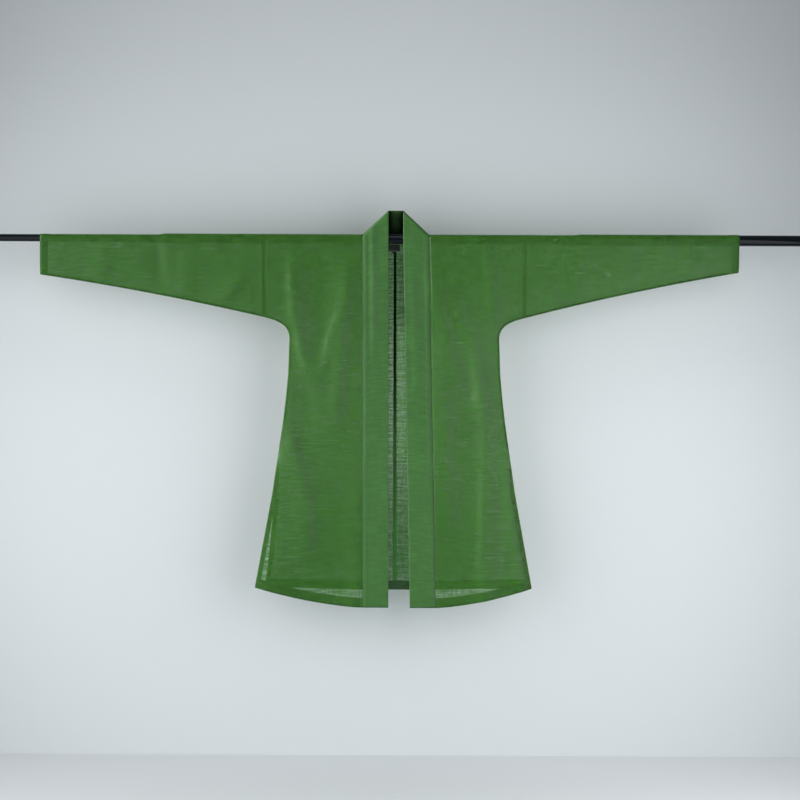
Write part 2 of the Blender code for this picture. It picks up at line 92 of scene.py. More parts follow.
def new_material(name):
    """An empty material and its node tree."""
    material = bpy.data.materials.new(name)
    material.use_nodes = True
    material.node_tree.nodes.clear()
    return material, material.node_tree


def new_object(name, data):
    """An object of this mesh, lamp or camera, linked to the scene."""
    item = bpy.data.objects.new(name, data)
    bpy.context.scene.collection.objects.link(item)
    return item


def stage_paint(name, colour):
    """Matt wall paint. Seen from behind it isn't there, so that the jacket's back can be looked at."""
    material, tree = new_material(name)
    matt = add_node(tree, "ShaderNodeBsdfDiffuse", {"Color": linear(colour)})
    side = add_node(tree, "ShaderNodeNewGeometry")
    clear = add_node(tree, "ShaderNodeBsdfTransparent")
    mix = add_node(tree, "ShaderNodeMixShader", {0: side.outputs["Backfacing"], 1: matt, 2: clear})
    add_node(tree, "ShaderNodeOutputMaterial", {"Surface": mix})
    return material


def stage_plane(name, middle, turn, material):
    """A large square of the room, turned about the X axis."""
    mesh = bpy.data.meshes.new(name)
    bm = bmesh.new()
    bmesh.ops.create_grid(bm, x_segments=1, y_segments=1, size=STAGE_SIZE)
    bm.transform(Matrix.Translation(middle) @ Matrix.Rotation(turn, 4, "X"))
    bm.to_mesh(mesh)
    bm.free()
    mesh.materials.append(material)
    plane = new_object(name, mesh)
    return plane


def soft_lamp(name, place, aim, width, watts, height=None):
    """A round lamp, or one with a height that is upright, which the camera doesn't see."""
    lamp = bpy.data.lights.new(name, "AREA")
    lamp.shape = "RECTANGLE" if height else "DISK"
    lamp.size = width
    lamp.size_y = height or width
    lamp.energy = watts
    item = new_object(name, lamp)
    item.location = place
    item.rotation_euler = (Vector(aim) - Vector(place)).to_track_quat("-Z", "Y").to_euler()
    item.visible_camera = False
    return item


camera_data = bpy.data.cameras.new("camera")
camera_data.lens = camera_data.sensor_width * VIEW_DISTANCE / VIEW_WIDTH
camera = new_object("camera", camera_data)
eye = Matrix.Translation((VIEW_CENTRE_X, -VIEW_DISTANCE, VIEW_CENTRE_Z))
camera.matrix_world = eye @ Matrix.Rotation(math.pi / 2, 4, "X") @ Matrix.Rotation(VIEW_ROLL, 4, "Z")
bpy.context.scene.camera = camera
bpy.context.scene.view_settings.view_transform = "Standard"

wall_paint = stage_paint("wall_paint", WALL_PAINT)
wall = stage_plane("wall", (0, WALL_Y, FLOOR_Z + STAGE_SIZE), math.pi / 2, wall_paint)
wall.visible_shadow = False
stage_plane("floor", (0, 0, FLOOR_Z), 0, stage_paint("floor_paint", FLOOR_PAINT))
room = bpy.data.worlds.new("room")
room.use_nodes = True
room.node_tree.nodes["Background"].inputs["Color"].default_value = linear(ROOM_LIGHT)
room.node_tree.nodes["Background"].inputs["Strength"].default_value = ROOM_STRENGTH
bpy.context.scene.world = room
soft_lamp("left_lamp", place=(-0.86, -1.02, -0.51), aim=(0.67, 0, -0.73), width=2.0, watts=12.6)
soft_lamp("right_lamp", place=(0.86, -1.14, -0.55), aim=(-1.19, 0, -1.01), width=1.8, watts=15.2)
soft_lamp("rod_lamp", place=(0, -1.2, 1.8), aim=(0, 0, 0), width=0.5, watts=2.6)
soft_lamp("back_lamp", place=(0.8, 3.4, 0.8), aim=(0, 0, -0.4), width=2.2, watts=30)
soft_lamp("wall_lamp", place=(0, 0.04, -0.45), aim=(0, 1, -0.45), width=0.5, watts=0.30, height=0.48)
# This lamp rakes over the object's own pieces alone, from the left, and brings out the cloth's creases
raking_lamp = soft_lamp("raking_lamp", place=(-10.0, -3.7, 3.2), aim=(0, 0, -0.4), width=3.0, watts=2800)
raked = bpy.data.collections.new("raked_by_lamp")
raking_lamp.light_linking.receiver_collection = raked


# The hanging rod: three steel tubes, each pushed into the next, lacquered gloss black, with a moulded cap
# on each outer end. The solids give their places and radii; here they are round and their edges rolled.
ROD_SIDES = 96
ROD_EDGE = 0.0006
CAP_EDGE = 3 * ROD_EDGE
ROUND_STEPS = 4
SHARP_EDGE = math.radians(50)
LACQUER_BLACK = "#02070a"
CAP_BLACK = "#121214"
# How many rubbing marks along x, y and z, ripples of the lacquer and grains of the plastic are in a metre
RUBBING = (12, 900, 900)
ORANGE_PEEL = 420.0
SPARK_GRAIN = 1500.0


def join_body(piece, material, slot, *nodes):
    """Gives a finished piece its material and its raking light, and hides the solids that it stands for."""
    if not piece.data.materials:
        piece.data.materials.append(material)
    raked.objects.link(piece)
    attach(piece, "root")
    if nodes:
        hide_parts(*nodes)
    return piece


def lathe(name, profile):
    """A round solid about the X axis, from (x, radius) points that run from its one end to the other."""
    x, radius = np.array(profile).T
    angle = np.linspace(0, 2 * math.pi, ROD_SIDES, endpoint=False)
    ring = np.stack([np.zeros(ROD_SIDES), np.cos(angle), np.sin(angle)], -1)
    points = ring[None] * radius[:, None, None] + np.array([1.0, 0, 0]) * x[:, None, None]
    index = np.arange(points.shape[0] * ROD_SIDES).reshape(-1, ROD_SIDES)
    after = np.roll(index, -1, 1)
    quads = np.stack([index[:-1], after[:-1], after[1:], index[1:]], -1).reshape(-1, 4).tolist()
    mesh = bpy.data.meshes.new(name)
    mesh.from_pydata(points.reshape(-1, 3), [], [*quads, index[0].tolist()[::-1], index[-1].tolist()])
    bm = bmesh.new()
    bm.from_mesh(mesh)
    bmesh.ops.recalc_face_normals(bm, faces=bm.faces)
    bm.to_mesh(mesh)
    bm.free()
    mesh.shade_smooth()
    mesh.set_sharp_from_angle(angle=SHARP_EDGE)
    return new_object(name, mesh)


def rolled(x, radius, way, edge):
    """Points of a rounded outer edge at an end that faces way (-1 or 1), ordered from low x to high x."""
    turns = np.linspace(0, math.pi / 2, ROUND_STEPS + 1)
    points = [(x - way * edge * (1 - math.sin(t)), radius - edge * (1 - math.cos(t))) for t in turns]
    return points if way > 0 else points[::-1]


def lacquer():
    """Gloss black baked lacquer: smooth, with a slight orange peel and faint rubbing along the tube."""
    material, tree = new_material("gloss_black_lacquer_on_steel")
    place = add_node(tree, "ShaderNodeTexCoord").outputs["Object"]
    along = add_node(tree, "ShaderNodeMapping", {0: place, "Scale": RUBBING})
    rubbing = add_node(tree, "ShaderNodeTexNoise", {"Vector": along, "Scale": 1.0, "Detail": 3.0})
    peel = add_node(tree, "ShaderNodeTexNoise", {"Vector": place, "Scale": ORANGE_PEEL})
    gloss = add_node(
        tree,
        "ShaderNodeMapRange",
        {"Value": rubbing, "From Min": 0.35, "From Max": 0.75, "To Min": 0.08, "To Max": 0.16},
    )
    relief = add_node(tree, "ShaderNodeBump", {"Height": peel, "Strength": 0.12, "Distance": 0.0002})
    inputs = {"Base Color": linear(LACQUER_BLACK), "Roughness": gloss, "Normal": relief}
    coat = add_node(tree, "ShaderNodeBsdfPrincipled", {**inputs, "Specular IOR Level": 0.2})
    add_node(tree, "ShaderNodeOutputMaterial", {"Surface": coat})
    return material


def finish_plain(material, tree, colour, grain, roughness, strength, depth):
    """Ends a material's tree in one plain surface, whose low relief comes from a grain."""
    relief = add_node(tree, "ShaderNodeBump", {"Height": grain, "Strength": strength, "Distance": depth})
    inputs = {"Base Color": colour, "Roughness": roughness, "Normal": relief}
    surface = add_node(tree, "ShaderNodeBsdfPrincipled", inputs)
    add_node(tree, "ShaderNodeOutputMaterial", {"Surface": surface})
    return material


def cap_plastic():
    """Moulded black polypropylene: satin, with a fine spark-eroded grain."""
    material, tree = new_material("moulded_black_polypropylene")
    place = add_node(tree, "ShaderNodeTexCoord").outputs["Object"]
    grain = add_node(tree, "ShaderNodeTexNoise", {"Vector": place, "Scale": SPARK_GRAIN})
    return finish_plain(
        material, tree, linear(CAP_BLACK), grain, roughness=0.48, strength=0.35, depth=0.0002
    )


rod_lacquer = lacquer()
rod_radius = {}
for part in ("left", "middle", "right"):
    low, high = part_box("rod_" + part)
    rod_radius[part] = (high.z - low.z) / 2
    ends = [rolled(end, rod_radius[part], way, ROD_EDGE) for end, way in ((low.x, -1), (high.x, 1))]
    join_body(lathe("rod_tube_" + part, ends[0] + ends[1]), rod_lacquer, "rod", "rod_" + part)
cap_skin = cap_plastic()
for part, way in (("left", -1), ("right", 1)):
    low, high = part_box("rod_cap_" + part)
    tip, rim = (low.x, high.x) if way < 0 else (high.x, low.x)
    outside = (high.z - low.z) / 2
    shape = [*rolled(rim, outside, -way, ROD_EDGE), *rolled(tip, outside, way, CAP_EDGE)]
    join_body(lathe("rod_end_cap_" + part, sorted(shape)), cap_skin, "rod_cap", "rod_cap_" + part)


# The form that the body hangs in. It lies over the rod with no shoulder seam, so that the front hangs below
# it on one side and the back on the other. They draw together below the rod, meet at the sewn underarm and
# side, and part again at the slits.
CLOTH = 0.0004
EASE = 0.0002
CENTRE_X = 0.002
SLEEVE_SEAM = 0.335
SEAM_DROP = 0.2023
UNDERARM = ((SLEEVE_SEAM, SEAM_DROP), (0.300, 0.211), (0.2712, 0.222), (0.2705, 0.256))
SideRow = namedtuple("SideRow", "drop half_width")
SIDE_LINE = (
    SideRow(0.348, 0.2735),
    SideRow(0.409, 0.2790),
    SideRow(0.471, 0.2862),
    SideRow(0.657, 0.3130),
    SideRow(0.899, 0.3568),
)
HEM_SIDE = SIDE_LINE[-1].drop
HEM_FRONT = -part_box("body_left")[0].z
HEM_BACK = -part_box("back_hem_facing")[0].z
HEM_CURVE = 1.6
HEM_BLEND_FROM = 0.60
HEM_PASSES = 3
SLIT_TOP = 0.545
SLIT_SPREAD = 0.0055
SLIT_BLEND = 0.04
BACK_LEFT_SWING = 0.024
ROUNDNESS = 0.0025
SEAM_GAP = 0.00005
Side = namedtuple("Side", "name sign neck drift sleeve_end cuff_drop rod_joint")
LEFT = Side("left", -1, 0.0825, -0.0036, 0.9135, 0.0947, 0.592)
RIGHT = Side("right", 1, 0.0883, 0.0207, 0.8865, 0.0830, 0.478)
SIDES = (LEFT, RIGHT)
BODY_LOOP = rod_radius["middle"] + EASE + CLOTH
# The most that the front or the back hangs out from the middle plane: below the rod they draw together
Hang = namedtuple("Hang", "drop limit")
HANG = (Hang(0.020, 0.0400), Hang(0.260, 0.0040), Hang(0.470, 0.0036), Hang(0.950, 0.0078))
HANG_SHARPNESS = 4
ARMHOLE_EASE = 0.06
LEAST_GAP = 0.0012
# A seam pulls the cloth in along its stitches and pushes it out just beside them
PUCKER = 0.0007
PUCKER_WIDTH = 0.003
PUCKER_RIDGE = 0.009

TOP_STEPS = 8
UNDERARM_STEPS = 18
FLANK_STEPS = 26
SEWN_STEPS = 46
SLIT_HEAD_STEPS = 6
SLIT_STEPS = 50
ARC_STEPS = 16
SIDE_COLUMNS = 56
SIDE_CROWDING = 1.7
MIDDLE_COLUMNS = 12
MIDDLE_CROWDING = 1.3

# Creases: a positive depth stands out and a negative one sinks in. Each runs from a top to a bottom place
# and is bowed outwards between them. Its side away from the centre and its side towards it differ in
# width, and the narrower is the steeper. Those of the fronts follow the photo
CREASE_FADE = 0.25
CREASE_EDGE = 0.03
Crease = namedtuple("Crease", "top_reach top_drop bottom_reach bottom_drop bow outer inner depth")
CREASES = {
    "front_left": (
        Crease(0.262, 0.020, 0.186, 0.430, 0.028, 0.014, 0.029, 0.0090),
        Crease(0.110, 0.015, 0.152, 0.540, 0.006, 0.020, 0.018, 0.0078),
        Crease(0.140, 0.170, 0.190, 0.380, 0.004, 0.014, 0.020, 0.0049),
        Crease(0.180, 0.010, 0.200, 0.330, 0.000, 0.043, 0.029, -0.0049),
        Crease(0.226, 0.330, 0.236, 0.560, 0.000, 0.026, 0.022, -0.0049),
        Crease(0.292, 0.440, 0.222, 0.860, -0.030, 0.049, 0.012, 0.0098),
        Crease(0.098, 0.520, 0.104, 1.200, 0.000, 0.014, 0.015, 0.0032),
        Crease(0.160, 0.520, 0.150, 1.300, 0.000, 0.051, 0.039, -0.0065),
    ),
    "front_right": (
        Crease(0.092, 0.055, 0.182, 0.420, -0.006, 0.020, 0.020, 0.0078),
        Crease(0.136, 0.080, 0.236, 0.500, 0.006, 0.017, 0.020, 0.0065),
        Crease(0.228, -0.020, 0.258, 0.260, 0.006, 0.020, 0.013, 0.0058),
        Crease(0.186, 0.170, 0.238, 0.600, 0.014, 0.020, 0.018, 0.0073),
        Crease(0.118, 0.230, 0.134, 0.560, 0.004, 0.023, 0.022, 0.0065),
        Crease(0.176, 0.230, 0.200, 0.440, 0.006, 0.017, 0.015, -0.0049),
        Crease(0.128, 0.500, 0.140, 0.780, 0.000, 0.026, 0.018, 0.0061),
        Crease(0.180, 0.440, 0.190, 0.740, 0.000, 0.032, 0.024, -0.0061),
        Crease(0.240, 0.480, 0.250, 1.200, -0.014, 0.038, 0.013, 0.0094),
        Crease(0.262, 0.520, 0.300, 0.900, 0.000, 0.014, 0.011, -0.0037),
        Crease(0.272, 0.520, 0.345, 0.980, 0.000, 0.017, 0.013, 0.0049),
        Crease(0.050, 0.480, 0.070, 1.400, 0.000, 0.072, 0.055, 0.0044),
    ),
    "band_left": (Crease(0.026, -0.080, 0.030, 0.330, 0.000, 0.007, 0.008, 0.0022),),
    "band_right": (Crease(0.044, 0.020, 0.036, 0.460, 0.000, 0.011, 0.013, 0.0014),),
    "back_left": (
        Crease(0.120, 0.060, 0.168, 0.560, 0.010, 0.020, 0.026, 0.0070),
        Crease(0.215, 0.200, 0.262, 1.300, -0.012, 0.043, 0.015, 0.0090),
        Crease(0.250, 0.030, 0.196, 0.400, 0.018, 0.017, 0.024, 0.0070),
        Crease(0.060, 0.380, 0.072, 1.300, 0.000, 0.049, 0.033, -0.0071),
    ),
    "back_right": (
        Crease(0.095, 0.050, 0.130, 0.500, 0.000, 0.026, 0.026, 0.0065),
        Crease(0.190, 0.160, 0.214, 1.300, 0.016, 0.020, 0.033, 0.0090),
        Crease(0.255, 0.050, 0.216, 0.420, 0.010, 0.017, 0.022, 0.0061),
        Crease(0.100, 0.470, 0.088, 1.300, 0.000, 0.052, 0.035, -0.0071),
    ),
    "front_sleeve_left": (
        Crease(0.530, 0.020, 0.542, 0.190, 0.004, 0.017, 0.024, 0.0041),
        Crease(0.612, 0.014, 0.590, 0.170, 0.000, 0.026, 0.013, -0.0037),
        Crease(0.360, 0.060, 0.470, 0.210, 0.004, 0.029, 0.015, 0.0044),
        Crease(0.740, 0.014, 0.770, 0.140, 0.000, 0.023, 0.022, 0.0029),
    ),
    "front_sleeve_right": (
        Crease(0.470, 0.020, 0.455, 0.200, 0.004, 0.020, 0.022, 0.0044),
        Crease(0.640, 0.014, 0.622, 0.150, 0.000, 0.026, 0.013, -0.0032),
        Crease(0.372, 0.090, 0.440, 0.220, 0.000, 0.026, 0.013, 0.0037),
        Crease(0.760, 0.014, 0.740, 0.140, 0.000, 0.029, 0.015, 0.0029),
    ),
    "back_sleeve_left": (
        Crease(0.500, 0.020, 0.488, 0.190, 0.000, 0.020, 0.022, 0.0041),
        Crease(0.660, 0.014, 0.676, 0.150, 0.000, 0.026, 0.013, -0.0032),
    ),
    "back_sleeve_right": (
        Crease(0.520, 0.020, 0.536, 0.190, 0.000, 0.029, 0.015, 0.0041),
        Crease(0.700, 0.014, 0.690, 0.150, 0.000, 0.020, 0.020, -0.0029),
    ),
}


def smooth(share):
    """0 to 1, with level ends."""
    t = np.clip(share, 0.0, 1.0)
    return t * t * (3 - 2 * t)


def bezier(points, t):
    """A point of a cubic curve."""
    a, b, c, d = (np.array(p) for p in points)
    k = 1 - t
    return k**3 * a + 3 * k * k * t * b + 3 * k * t * t * c + t**3 * d


UNDERARM_ROWS = [bezier(UNDERARM, i / UNDERARM_STEPS) for i in range(UNDERARM_STEPS + 1)]
SEWN_LINE = np.array([*UNDERARM_ROWS, *((row.half_width, row.drop) for row in SIDE_LINE)])


def at_reach(side, reach, y, z):
    """Points of the garment at a reach on one side."""
    return np.stack([CENTRE_X + side.sign * reach, y, z], -1)


def side_reach(drop):
    """The body's outline: the sleeve seam, the underarm curve, then the side line."""
    return np.interp(drop, SEWN_LINE[:, 1], SEWN_LINE[:, 0])


def swing(side, face, drop):
    """How far the left back's free edge hangs inside the front's below the slit's top."""
    if side is not LEFT or face < 0:
        return 0.0 * drop
    return BACK_LEFT_SWING * smooth((drop - SLIT_TOP) / (HEM_SIDE - SLIT_TOP))


def sewn_distance(reach, drop):
    """Distance to the nearest sewn edge: the underarm or the side line."""
    here = np.stack(np.broadcast_arrays(reach, drop), -1)
    nearest = np.full(here.shape[:-1], np.inf)
    for start, end in zip(SEWN_LINE[:-1], SEWN_LINE[1:], strict=True):
        step = end - start
        along = np.clip(((here - start) @ step) / (step @ step), 0, 1)
        nearest = np.minimum(nearest, np.linalg.norm(here - start - along[..., None] * step, axis=-1))
    return nearest


def hanging_gap(distance, full_distance, loop):
    """Half the depth of a loop of cloth over the rod: a hanging chain's curve, closed at its sewn edge."""
    nearest = np.minimum(distance, full_distance)
    return loop * np.arccosh(1 + nearest / ROUNDNESS) / math.acosh(1 + full_distance / ROUNDNESS)


def hang_limit(reach, drop):
    """The most that the front or the back hangs out here. At the armholes it leaves the sleeves' room."""
    limit = HANG[0].limit + 0.0 * drop
    for upper, lower in zip(HANG[:-1], HANG[1:], strict=True):
        limit = limit + (lower.limit - upper.limit) * smooth((drop - upper.drop) / (lower.drop - upper.drop))
    return limit + (HANG[0].limit - limit) * (1 - smooth((SLEEVE_SEAM - reach) / ARMHOLE_EASE))


def crease_depth(panel, reach, drop):
    """How far a panel's creases stand out from its smooth form."""
    depth = 0.0 * reach * drop
    for crease in CREASES[panel]:
        share = (drop - crease.top_drop) / (crease.bottom_drop - crease.top_drop)
        line = crease.top_reach + (crease.bottom_reach - crease.top_reach) * share
        beyond = reach - line - crease.bow * 4 * share * (1 - share)
        width = np.where(beyond > 0, crease.outer, crease.inner)
        ends = smooth(share / CREASE_FADE) * smooth((1 - share) / CREASE_FADE)
        depth = depth + crease.depth * ends * np.exp(-((beyond / width) ** 2))
    return depth


def pucker(distance):
    """How far the cloth stands out beside a seam, or sinks in along it."""
    ridge = np.exp(-(((np.abs(distance) - PUCKER_RIDGE) / PUCKER_WIDTH) ** 2))
    return PUCKER * (ridge - np.exp(-((distance / PUCKER_WIDTH) ** 2)))


def front_reach(side, drop):
    """The front's open edge, where the collar band is sewn on."""
    return side.neck + side.drift * drop / HEM_FRONT


def body_point(side, face, reach, drop):
    """Points on the outer side of the front (face -1) or the back (face 1), below the rod's axis."""
    reach, drop = np.broadcast_arrays(reach, drop)
    panel = ("front_" if face < 0 else "back_") + side.name
    distance = sewn_distance(reach + swing(side, face, drop), drop)
    gap = hanging_gap(distance, SEAM_DROP, BODY_LOOP)
    gap /= (1 + (gap / hang_limit(reach, drop)) ** HANG_SHARPNESS) ** (1 / HANG_SHARPNESS)
    relief = crease_depth(panel, reach, drop) + pucker(reach - SLEEVE_SEAM)
    if face < 0:
        relief += pucker(reach - front_reach(side, drop))
    gap = np.maximum(gap + relief * smooth(distance / CREASE_EDGE), np.minimum(gap, LEAST_GAP))
    spread = SLIT_SPREAD * smooth((drop - SLIT_TOP) / SLIT_BLEND)
    return at_reach(side, reach, face * (SEAM_GAP + np.hypot(gap, spread)), -drop)


def hem_drop(side, face, reach):
    """The hem's curve from the side corner to the middle."""
    inner, lowest = (front_reach(side, HEM_FRONT), HEM_FRONT) if face < 0 else (0.0, HEM_BACK)
    share = np.clip((reach - inner) / (side_reach(HEM_SIDE) - inner), 0.0, 1.0)
    return HEM_SIDE + (lowest - HEM_SIDE) * (1 - share**HEM_CURVE)


def column_reach(side, face, drop, column):
    """A column of the body's grid: crowded towards the side, then, on the back, across to the centre."""
    inner = side.neck + 0.0 * drop if face > 0 else front_reach(side, drop)
    outer = side_reach(drop) - swing(side, face, drop)
    share = np.minimum(column / SIDE_COLUMNS, 1.0) ** SIDE_CROWDING
    beyond = np.clip((column - SIDE_COLUMNS) / MIDDLE_COLUMNS, 0.0, 1.0)
    crowded = side.neck * (1 - beyond**MIDDLE_CROWDING)
    return np.where(column > SIDE_COLUMNS, crowded, outer + (inner - outer) * share)


def grid_place(side, face, level, column):
    """(reach, drop) of a column where it crosses a level, which follows the hem's curve as it nears it."""
    blend = np.maximum(level - HEM_BLEND_FROM, 0) / (HEM_SIDE - HEM_BLEND_FROM)
    drop = level + 0.0 * column
    for _ in range(HEM_PASSES):
        reach = column_reach(side, face, drop, column)
        drop = level + (hem_drop(side, face, reach) - HEM_SIDE) * blend
    return reach, drop


def body_levels():
    """Drops of the rows from the rod's axis to the hem, close together where the underarm turns."""
    turn = math.acosh(1 + SEAM_DROP / ROUNDNESS)
    heights = ROUNDNESS * (np.cosh(turn * np.arange(FLANK_STEPS) / FLANK_STEPS) - 1)
    flank = SEAM_DROP - heights[::-1]
    top = np.arange(1, TOP_STEPS) / TOP_STEPS * flank[0]
    underarm = [drop for _, drop in UNDERARM_ROWS[1:]]
    sewn = np.linspace(underarm[-1], SLIT_TOP, SEWN_STEPS + 1)[1:]
    head = np.linspace(SLIT_TOP, SLIT_TOP + SLIT_BLEND, SLIT_HEAD_STEPS + 1)[1:]
    slit = np.linspace(SLIT_TOP + SLIT_BLEND, HEM_SIDE, SLIT_STEPS + 1)[1:]
    return np.array([*top, *flank, *underarm, *sewn, *head, *slit])


def over_rod(side, angle, column):
    """Points of the body over the rod, where the middle of the back rises straight to the neck seam."""
    y, z = -np.cos(angle), np.sin(angle)
    reach = column_reach(side, 1, 0.0 * angle, column)
    share = np.clip((side.neck - reach) / BODY_LOOP, 0.0, 1.0)
    upright = np.where(column > SIDE_COLUMNS, np.sqrt(1 - (1 - share) ** 2), 0.0)
    y = (1 - upright) * y + upright
    z = (1 - upright) * z + upright * (math.pi - angle) / (math.pi / 2)
    return at_reach(side, reach, (BODY_LOOP + SEAM_GAP) * y, BODY_LOOP * z)


# The cloth: ramie in plain weave, piece-dyed green and half-sheer, so that the light of the wall comes
# through it. Its threads lie 0.4 mm apart, too fine to show, so they are drawn about 4.5 mm apart.
THROUGH_GREEN = "#3b9d27"
# How many streaks of the weft and of the warp, and clouds of the dye, there are in a metre of cloth
WEFT_STREAKS = (26, 220, 1)
WARP_STREAKS = (220, 22, 1)
DYE_CLOUDS = 9.0
# How far the ambient occlusion that paints shade looks
PAINTED_SHADE_DISTANCE = 0.05
Grid = namedtuple("Grid", "points grain keep ring", defaults=(None, None, False))


def cloth_piece(name, grids, thickness, material, slot, *nodes):
    """A thin shell from grids of points on its outer side, with its thickness inside.

    A grid's grain holds each point's place along the weft and the warp in metres, or is its x and z, and
    its keep marks the faces that are made, where that isn't all. A ring joins its last column to its
    first, which lie in the same places.
    """
    vertices, faces, threads_at = [], [], []
    for points, grain, keep, ring in grids:
        rows, columns = points.shape[:2]
        index = np.arange(rows * columns).reshape(rows, columns)
        corners = np.stack([index[:-1, :-1], index[:-1, 1:], index[1:, 1:], index[1:, :-1]], -1)
        corners = (corners if keep is None else corners[keep]).reshape(-1, 4)
        places = points.reshape(-1, 3)
        a, b, c, d = (places[corners[:, k]] for k in range(4))
        outwards = (a + b + c + d) * np.array([0.0, 1.0, 1.0])
        outwards[:, 2] = np.maximum(outwards[:, 2], 0)
        if (np.cross(c - a, d - b) * outwards).sum() < 0:
            corners = corners[:, ::-1]
        joined = index.copy()
        if ring:
            joined[:, -1] = index[:, 0]
        used, quads = np.unique(joined.reshape(-1)[corners], return_inverse=True)
        faces.append(quads.reshape(-1, 4) + sum(len(earlier) for earlier in vertices))
        vertices.append(places[used])
        threads = points[..., [0, 2]] if grain is None else grain
        threads_at.append(threads.reshape(-1, 2)[corners.reshape(-1)])
    mesh = bpy.data.meshes.new(name)
    mesh.from_pydata(np.concatenate(vertices), [], np.concatenate(faces).tolist())
    layer = mesh.uv_layers.new(name="threads")
    layer.data.foreach_set("uv", np.concatenate(threads_at).astype(np.float32).ravel())
    mesh.shade_smooth()
    piece = new_object(name, mesh)
    wall_of_cloth = piece.modifiers.new("thickness", "SOLIDIFY")
    wall_of_cloth.thickness = thickness
    wall_of_cloth.offset = -1
    return join_body(piece, material, slot, *nodes)


def ramie(name, face, clear, unevenness, passed, streaks, gloss=0.3, painted_hollow_shade=0.0, painted_shade_top=None):
    """Ramie, whose threads are hard, long and uneven, so that thick and thin places show as short streaks,
    mostly along the weft. face is the colour that it reflects, clear the share of its area that is gaps
    between threads on each side of the shell, unevenness how much that share differs from place to place,
    passed the share of the light on the threads that goes through them, as a purer green, streaks how
    much the face's own colour differs, and gloss how strongly the threads shine. Doubled cloth lets
    nothing through from behind. Painted shade darkens its colour and shine where cloth closes round it,
    by ambient occlusion: painted_hollow_shade is how fast. deep paints shade by height: the height, and the
    share of the light kept there, of a place far inside, from where the painted shade fades to the hem.
    """
    material, tree = new_material(name)
    threads = add_node(tree, "ShaderNodeUVMap", uv_map="threads")
    weft_place = add_node(tree, "ShaderNodeMapping", {0: threads, "Scale": WEFT_STREAKS})
    warp_place = add_node(tree, "ShaderNodeMapping", {0: threads, "Scale": WARP_STREAKS})
    weft = add_node(tree, "ShaderNodeTexNoise", {"Vector": weft_place, "Scale": 1.0, "Detail": 2.0})
    warp = add_node(tree, "ShaderNodeTexNoise", {"Vector": warp_place, "Scale": 1.0, "Detail": 2.0})
    dye = add_node(tree, "ShaderNodeTexNoise", {"Vector": threads, "Scale": DYE_CLOUDS, "Detail": 3.0})
    weave = add_node(tree, "ShaderNodeMix", {"Factor": 0.3, 2: weft, 3: warp}, data_type="FLOAT")
    limits = {"From Min": 0.32, "From Max": 0.68, "To Min": 0.0, "To Max": 1.0}
    uneven = add_node(tree, "ShaderNodeMapRange", {"Value": weave, **limits})
    dark, light = ((*(c * (1 + change) for c in linear(face)[:3]), 1.0) for change in (-streaks, streaks))
    shade = add_node(tree, "ShaderNodeMix", {"Factor": uneven, "A": dark, "B": light}, data_type="RGBA")
    limits = {"From Min": 0.3, "From Max": 0.7, "To Min": 0.95, "To Max": 1.05}
    dye_and_painted_shade = add_node(tree, "ShaderNodeMapRange", {"Value": dye, **limits})
    # Painted shade: ambient occlusion darkens the colour where other cloth closes round
    if painted_hollow_shade:
        open_share_for_painted_shade = add_node(tree, "ShaderNodeAmbientOcclusion", {"Distance": PAINTED_SHADE_DISTANCE}, samples=8)
        share = {0: open_share_for_painted_shade.outputs["AO"], 1: painted_hollow_shade}
        painted_light_share = add_node(tree, "ShaderNodeMath", share, operation="POWER")
        dye_and_painted_shade = add_node(tree, "ShaderNodeMath", {0: dye_and_painted_shade, 1: painted_light_share}, operation="MULTIPLY")
    # Painted shade by height: darkest above the given height, fading to none at the back hem
    if painted_shade_top:
        place = add_node(tree, "ShaderNodeTexCoord").outputs["Object"]
        height = add_node(tree, "ShaderNodeSeparateXYZ", {0: place}).outputs["Z"]
        limits = {"From Min": painted_shade_top[0], "From Max": -HEM_BACK, "To Min": painted_shade_top[1]}
        painted_shade_rise = {"Value": height, **limits}
        painted_light_share = add_node(tree, "ShaderNodeMapRange", painted_shade_rise, interpolation_type="SMOOTHSTEP")
        dye_and_painted_shade = add_node(tree, "ShaderNodeMath", {0: dye_and_painted_shade, 1: painted_light_share}, operation="MULTIPLY")
    shaded = {0: shade.outputs["Result"], "Scale": dye_and_painted_shade}
    colour = add_node(tree, "ShaderNodeVectorMath", shaded, operation="SCALE")
    limits = {"To Min": 1 - clear - unevenness, "To Max": 1 - clear + unevenness}
    filled = add_node(tree, "ShaderNodeMapRange", {"Value": uneven, **limits})
    relief = add_node(tree, "ShaderNodeBump", {"Height": weave, "Strength": 0.06, "Distance": 0.00025})
    surface = add_node(
        tree,
        "ShaderNodeBsdfPrincipled",
        {
            "Base Color": colour,
            "Roughness": 0.40,
            "Specular IOR Level": gloss,
            "Sheen Weight": gloss / 10,
            "Sheen Roughness": 0.5,
            "Normal": relief,
        },
    )
    # The painted shade dims the shine as well
    if painted_hollow_shade:
        tree.links.new(painted_light_share.outputs[0], surface.inputs["Specular Tint"])
    through = add_node(tree, "ShaderNodeBsdfTranslucent", {"Color": linear(THROUGH_GREEN), "Normal": relief})
    thread = add_node(tree, "ShaderNodeMixShader", {0: passed, 1: surface, 2: through})
    holes = add_node(tree, "ShaderNodeBsdfTransparent")
    cloth = add_node(tree, "ShaderNodeMixShader", {0: filled, 1: holes, 2: thread})
    add_node(tree, "ShaderNodeOutputMaterial", {"Surface": cloth})
    return material


# The seams inside the body, in the same ramie. Along the underarms and sides their allowances are pressed
# together between the layers, and painted shade draws them darker than the cloth. At the centre back they
# are folded to the right and tacked at the top, and painted shade darkens them up towards the neck.
# The allowances' colour, darker than the cloth's own: painted shade between the layers
ALLOWANCE_SHADED_GREEN = "#142d11"
CENTRE_SEAM_GREEN = "#35632f"
